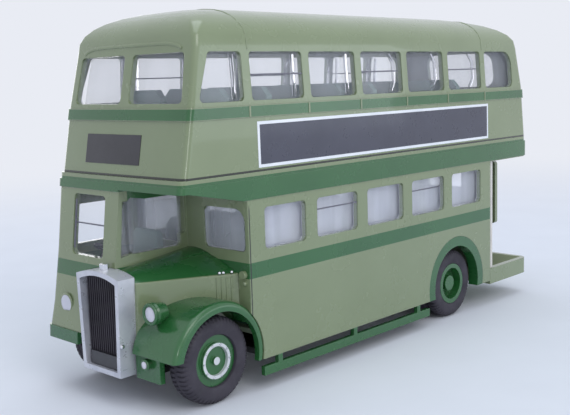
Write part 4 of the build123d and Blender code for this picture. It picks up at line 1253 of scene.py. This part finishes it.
FLOOR_REACH = 6.0
bpy.ops.mesh.primitive_plane_add(size=2 * FLOOR_REACH, location=(0, 0, 0))
floor = bpy.context.object
floor.name = "stage_floor"
floor.data.materials.append(stage_material())

WORLD_LIGHT = 0.72
SKY_LIGHT = colour(226, 232, 246)
world = bpy.data.worlds.new("studio")
bpy.context.scene.world = world
world.use_nodes = True
world_nodes = world.node_tree.nodes
world_links = world.node_tree.links
light_sky = world_nodes["Background"]
light_sky.inputs["Color"].default_value = SKY_LIGHT
light_sky.inputs["Strength"].default_value = WORLD_LIGHT
seen_sky = world_nodes.new("ShaderNodeBackground")
seen_sky.inputs["Color"].default_value = BACKGROUND
seen_sky.inputs["Strength"].default_value = 1.0
sky_blend = world_nodes.new("ShaderNodeMixShader")
world_links.new(seen_share(world_nodes, world_links), sky_blend.inputs["Fac"])
world_links.new(light_sky.outputs[0], sky_blend.inputs[1])
world_links.new(seen_sky.outputs[0], sky_blend.inputs[2])
world_links.new(sky_blend.outputs[0], world_nodes["World Output"].inputs["Surface"])


# Lights
def softbox(name, place, target, size, power, tint):
    """Area lamp at a place in metres, aimed at a target."""
    data = bpy.data.lights.new(name, "AREA")
    data.shape = "RECTANGLE"
    data.size, data.size_y = size
    data.energy = power
    data.color = tint
    lamp = bpy.data.objects.new(name, data)
    bpy.context.scene.collection.objects.link(lamp)
    lamp.location = place
    lamp.rotation_euler = (Vector(target) - Vector(place)).to_track_quat("-Z", "Y").to_euler()
    return lamp


WHITE = (1.0, 1.0, 1.0)
COOL = (0.86, 0.94, 1.0)
# Rows of name, place, target and size in metres, power in watts, and tint
LAMPS = (
    ("key", (0.14, 0.50, 0.42), (0, 0, 0.03), (0.34, 0.30), 0.9, WHITE),
    ("side_box", (-0.32, 0.55, 0.11), (0, 0.02, 0.02), (0.55, 0.20), 0.5, COOL),
    ("top", (-0.02, 0.02, 0.60), (0, 0, 0.03), (0.60, 0.40), 1.1, COOL),
    ("under_fill", (-0.10, -0.60, 0.10), (0, 0, 0.01), (0.60, 0.16), 0.5, WHITE),
    ("catch_light", (0.26, 0.26, 0.10), (0.04, 0.01, 0.04), (0.05, 0.05), 0.065, WHITE),
)
for lamp in LAMPS:
    softbox(*lamp)


# Camera
def make_camera():
    """The photograph's viewpoint, from the fitted place, turn and focal length."""
    forward = Vector((
        math.cos(CAMERA_PITCH) * math.cos(CAMERA_YAW),
        math.cos(CAMERA_PITCH) * math.sin(CAMERA_YAW),
        math.sin(CAMERA_PITCH),
    ))
    level_right = forward.cross(Vector((0, 0, 1))).normalized()
    level_up = level_right.cross(forward)
    right = math.cos(CAMERA_ROLL) * level_right + math.sin(CAMERA_ROLL) * level_up
    up = math.cos(CAMERA_ROLL) * level_up - math.sin(CAMERA_ROLL) * level_right
    data = bpy.data.cameras.new("photo_camera")
    data.sensor_width = SENSOR_MM
    data.lens = FOCAL_PIXELS * SENSOR_MM / PHOTO_WIDTH
    data.clip_start = CLIP_NEAR
    data.clip_end = CLIP_FAR
    camera = bpy.data.objects.new("photo_camera", data)
    bpy.context.scene.collection.objects.link(camera)
    turn = Matrix((right, up, -forward)).transposed().to_4x4()
    camera.matrix_world = Matrix.Translation(CAMERA_PLACE) @ turn
    bpy.context.scene.camera = camera


make_camera()
bpy.context.scene.view_settings.view_transform = "Standard"
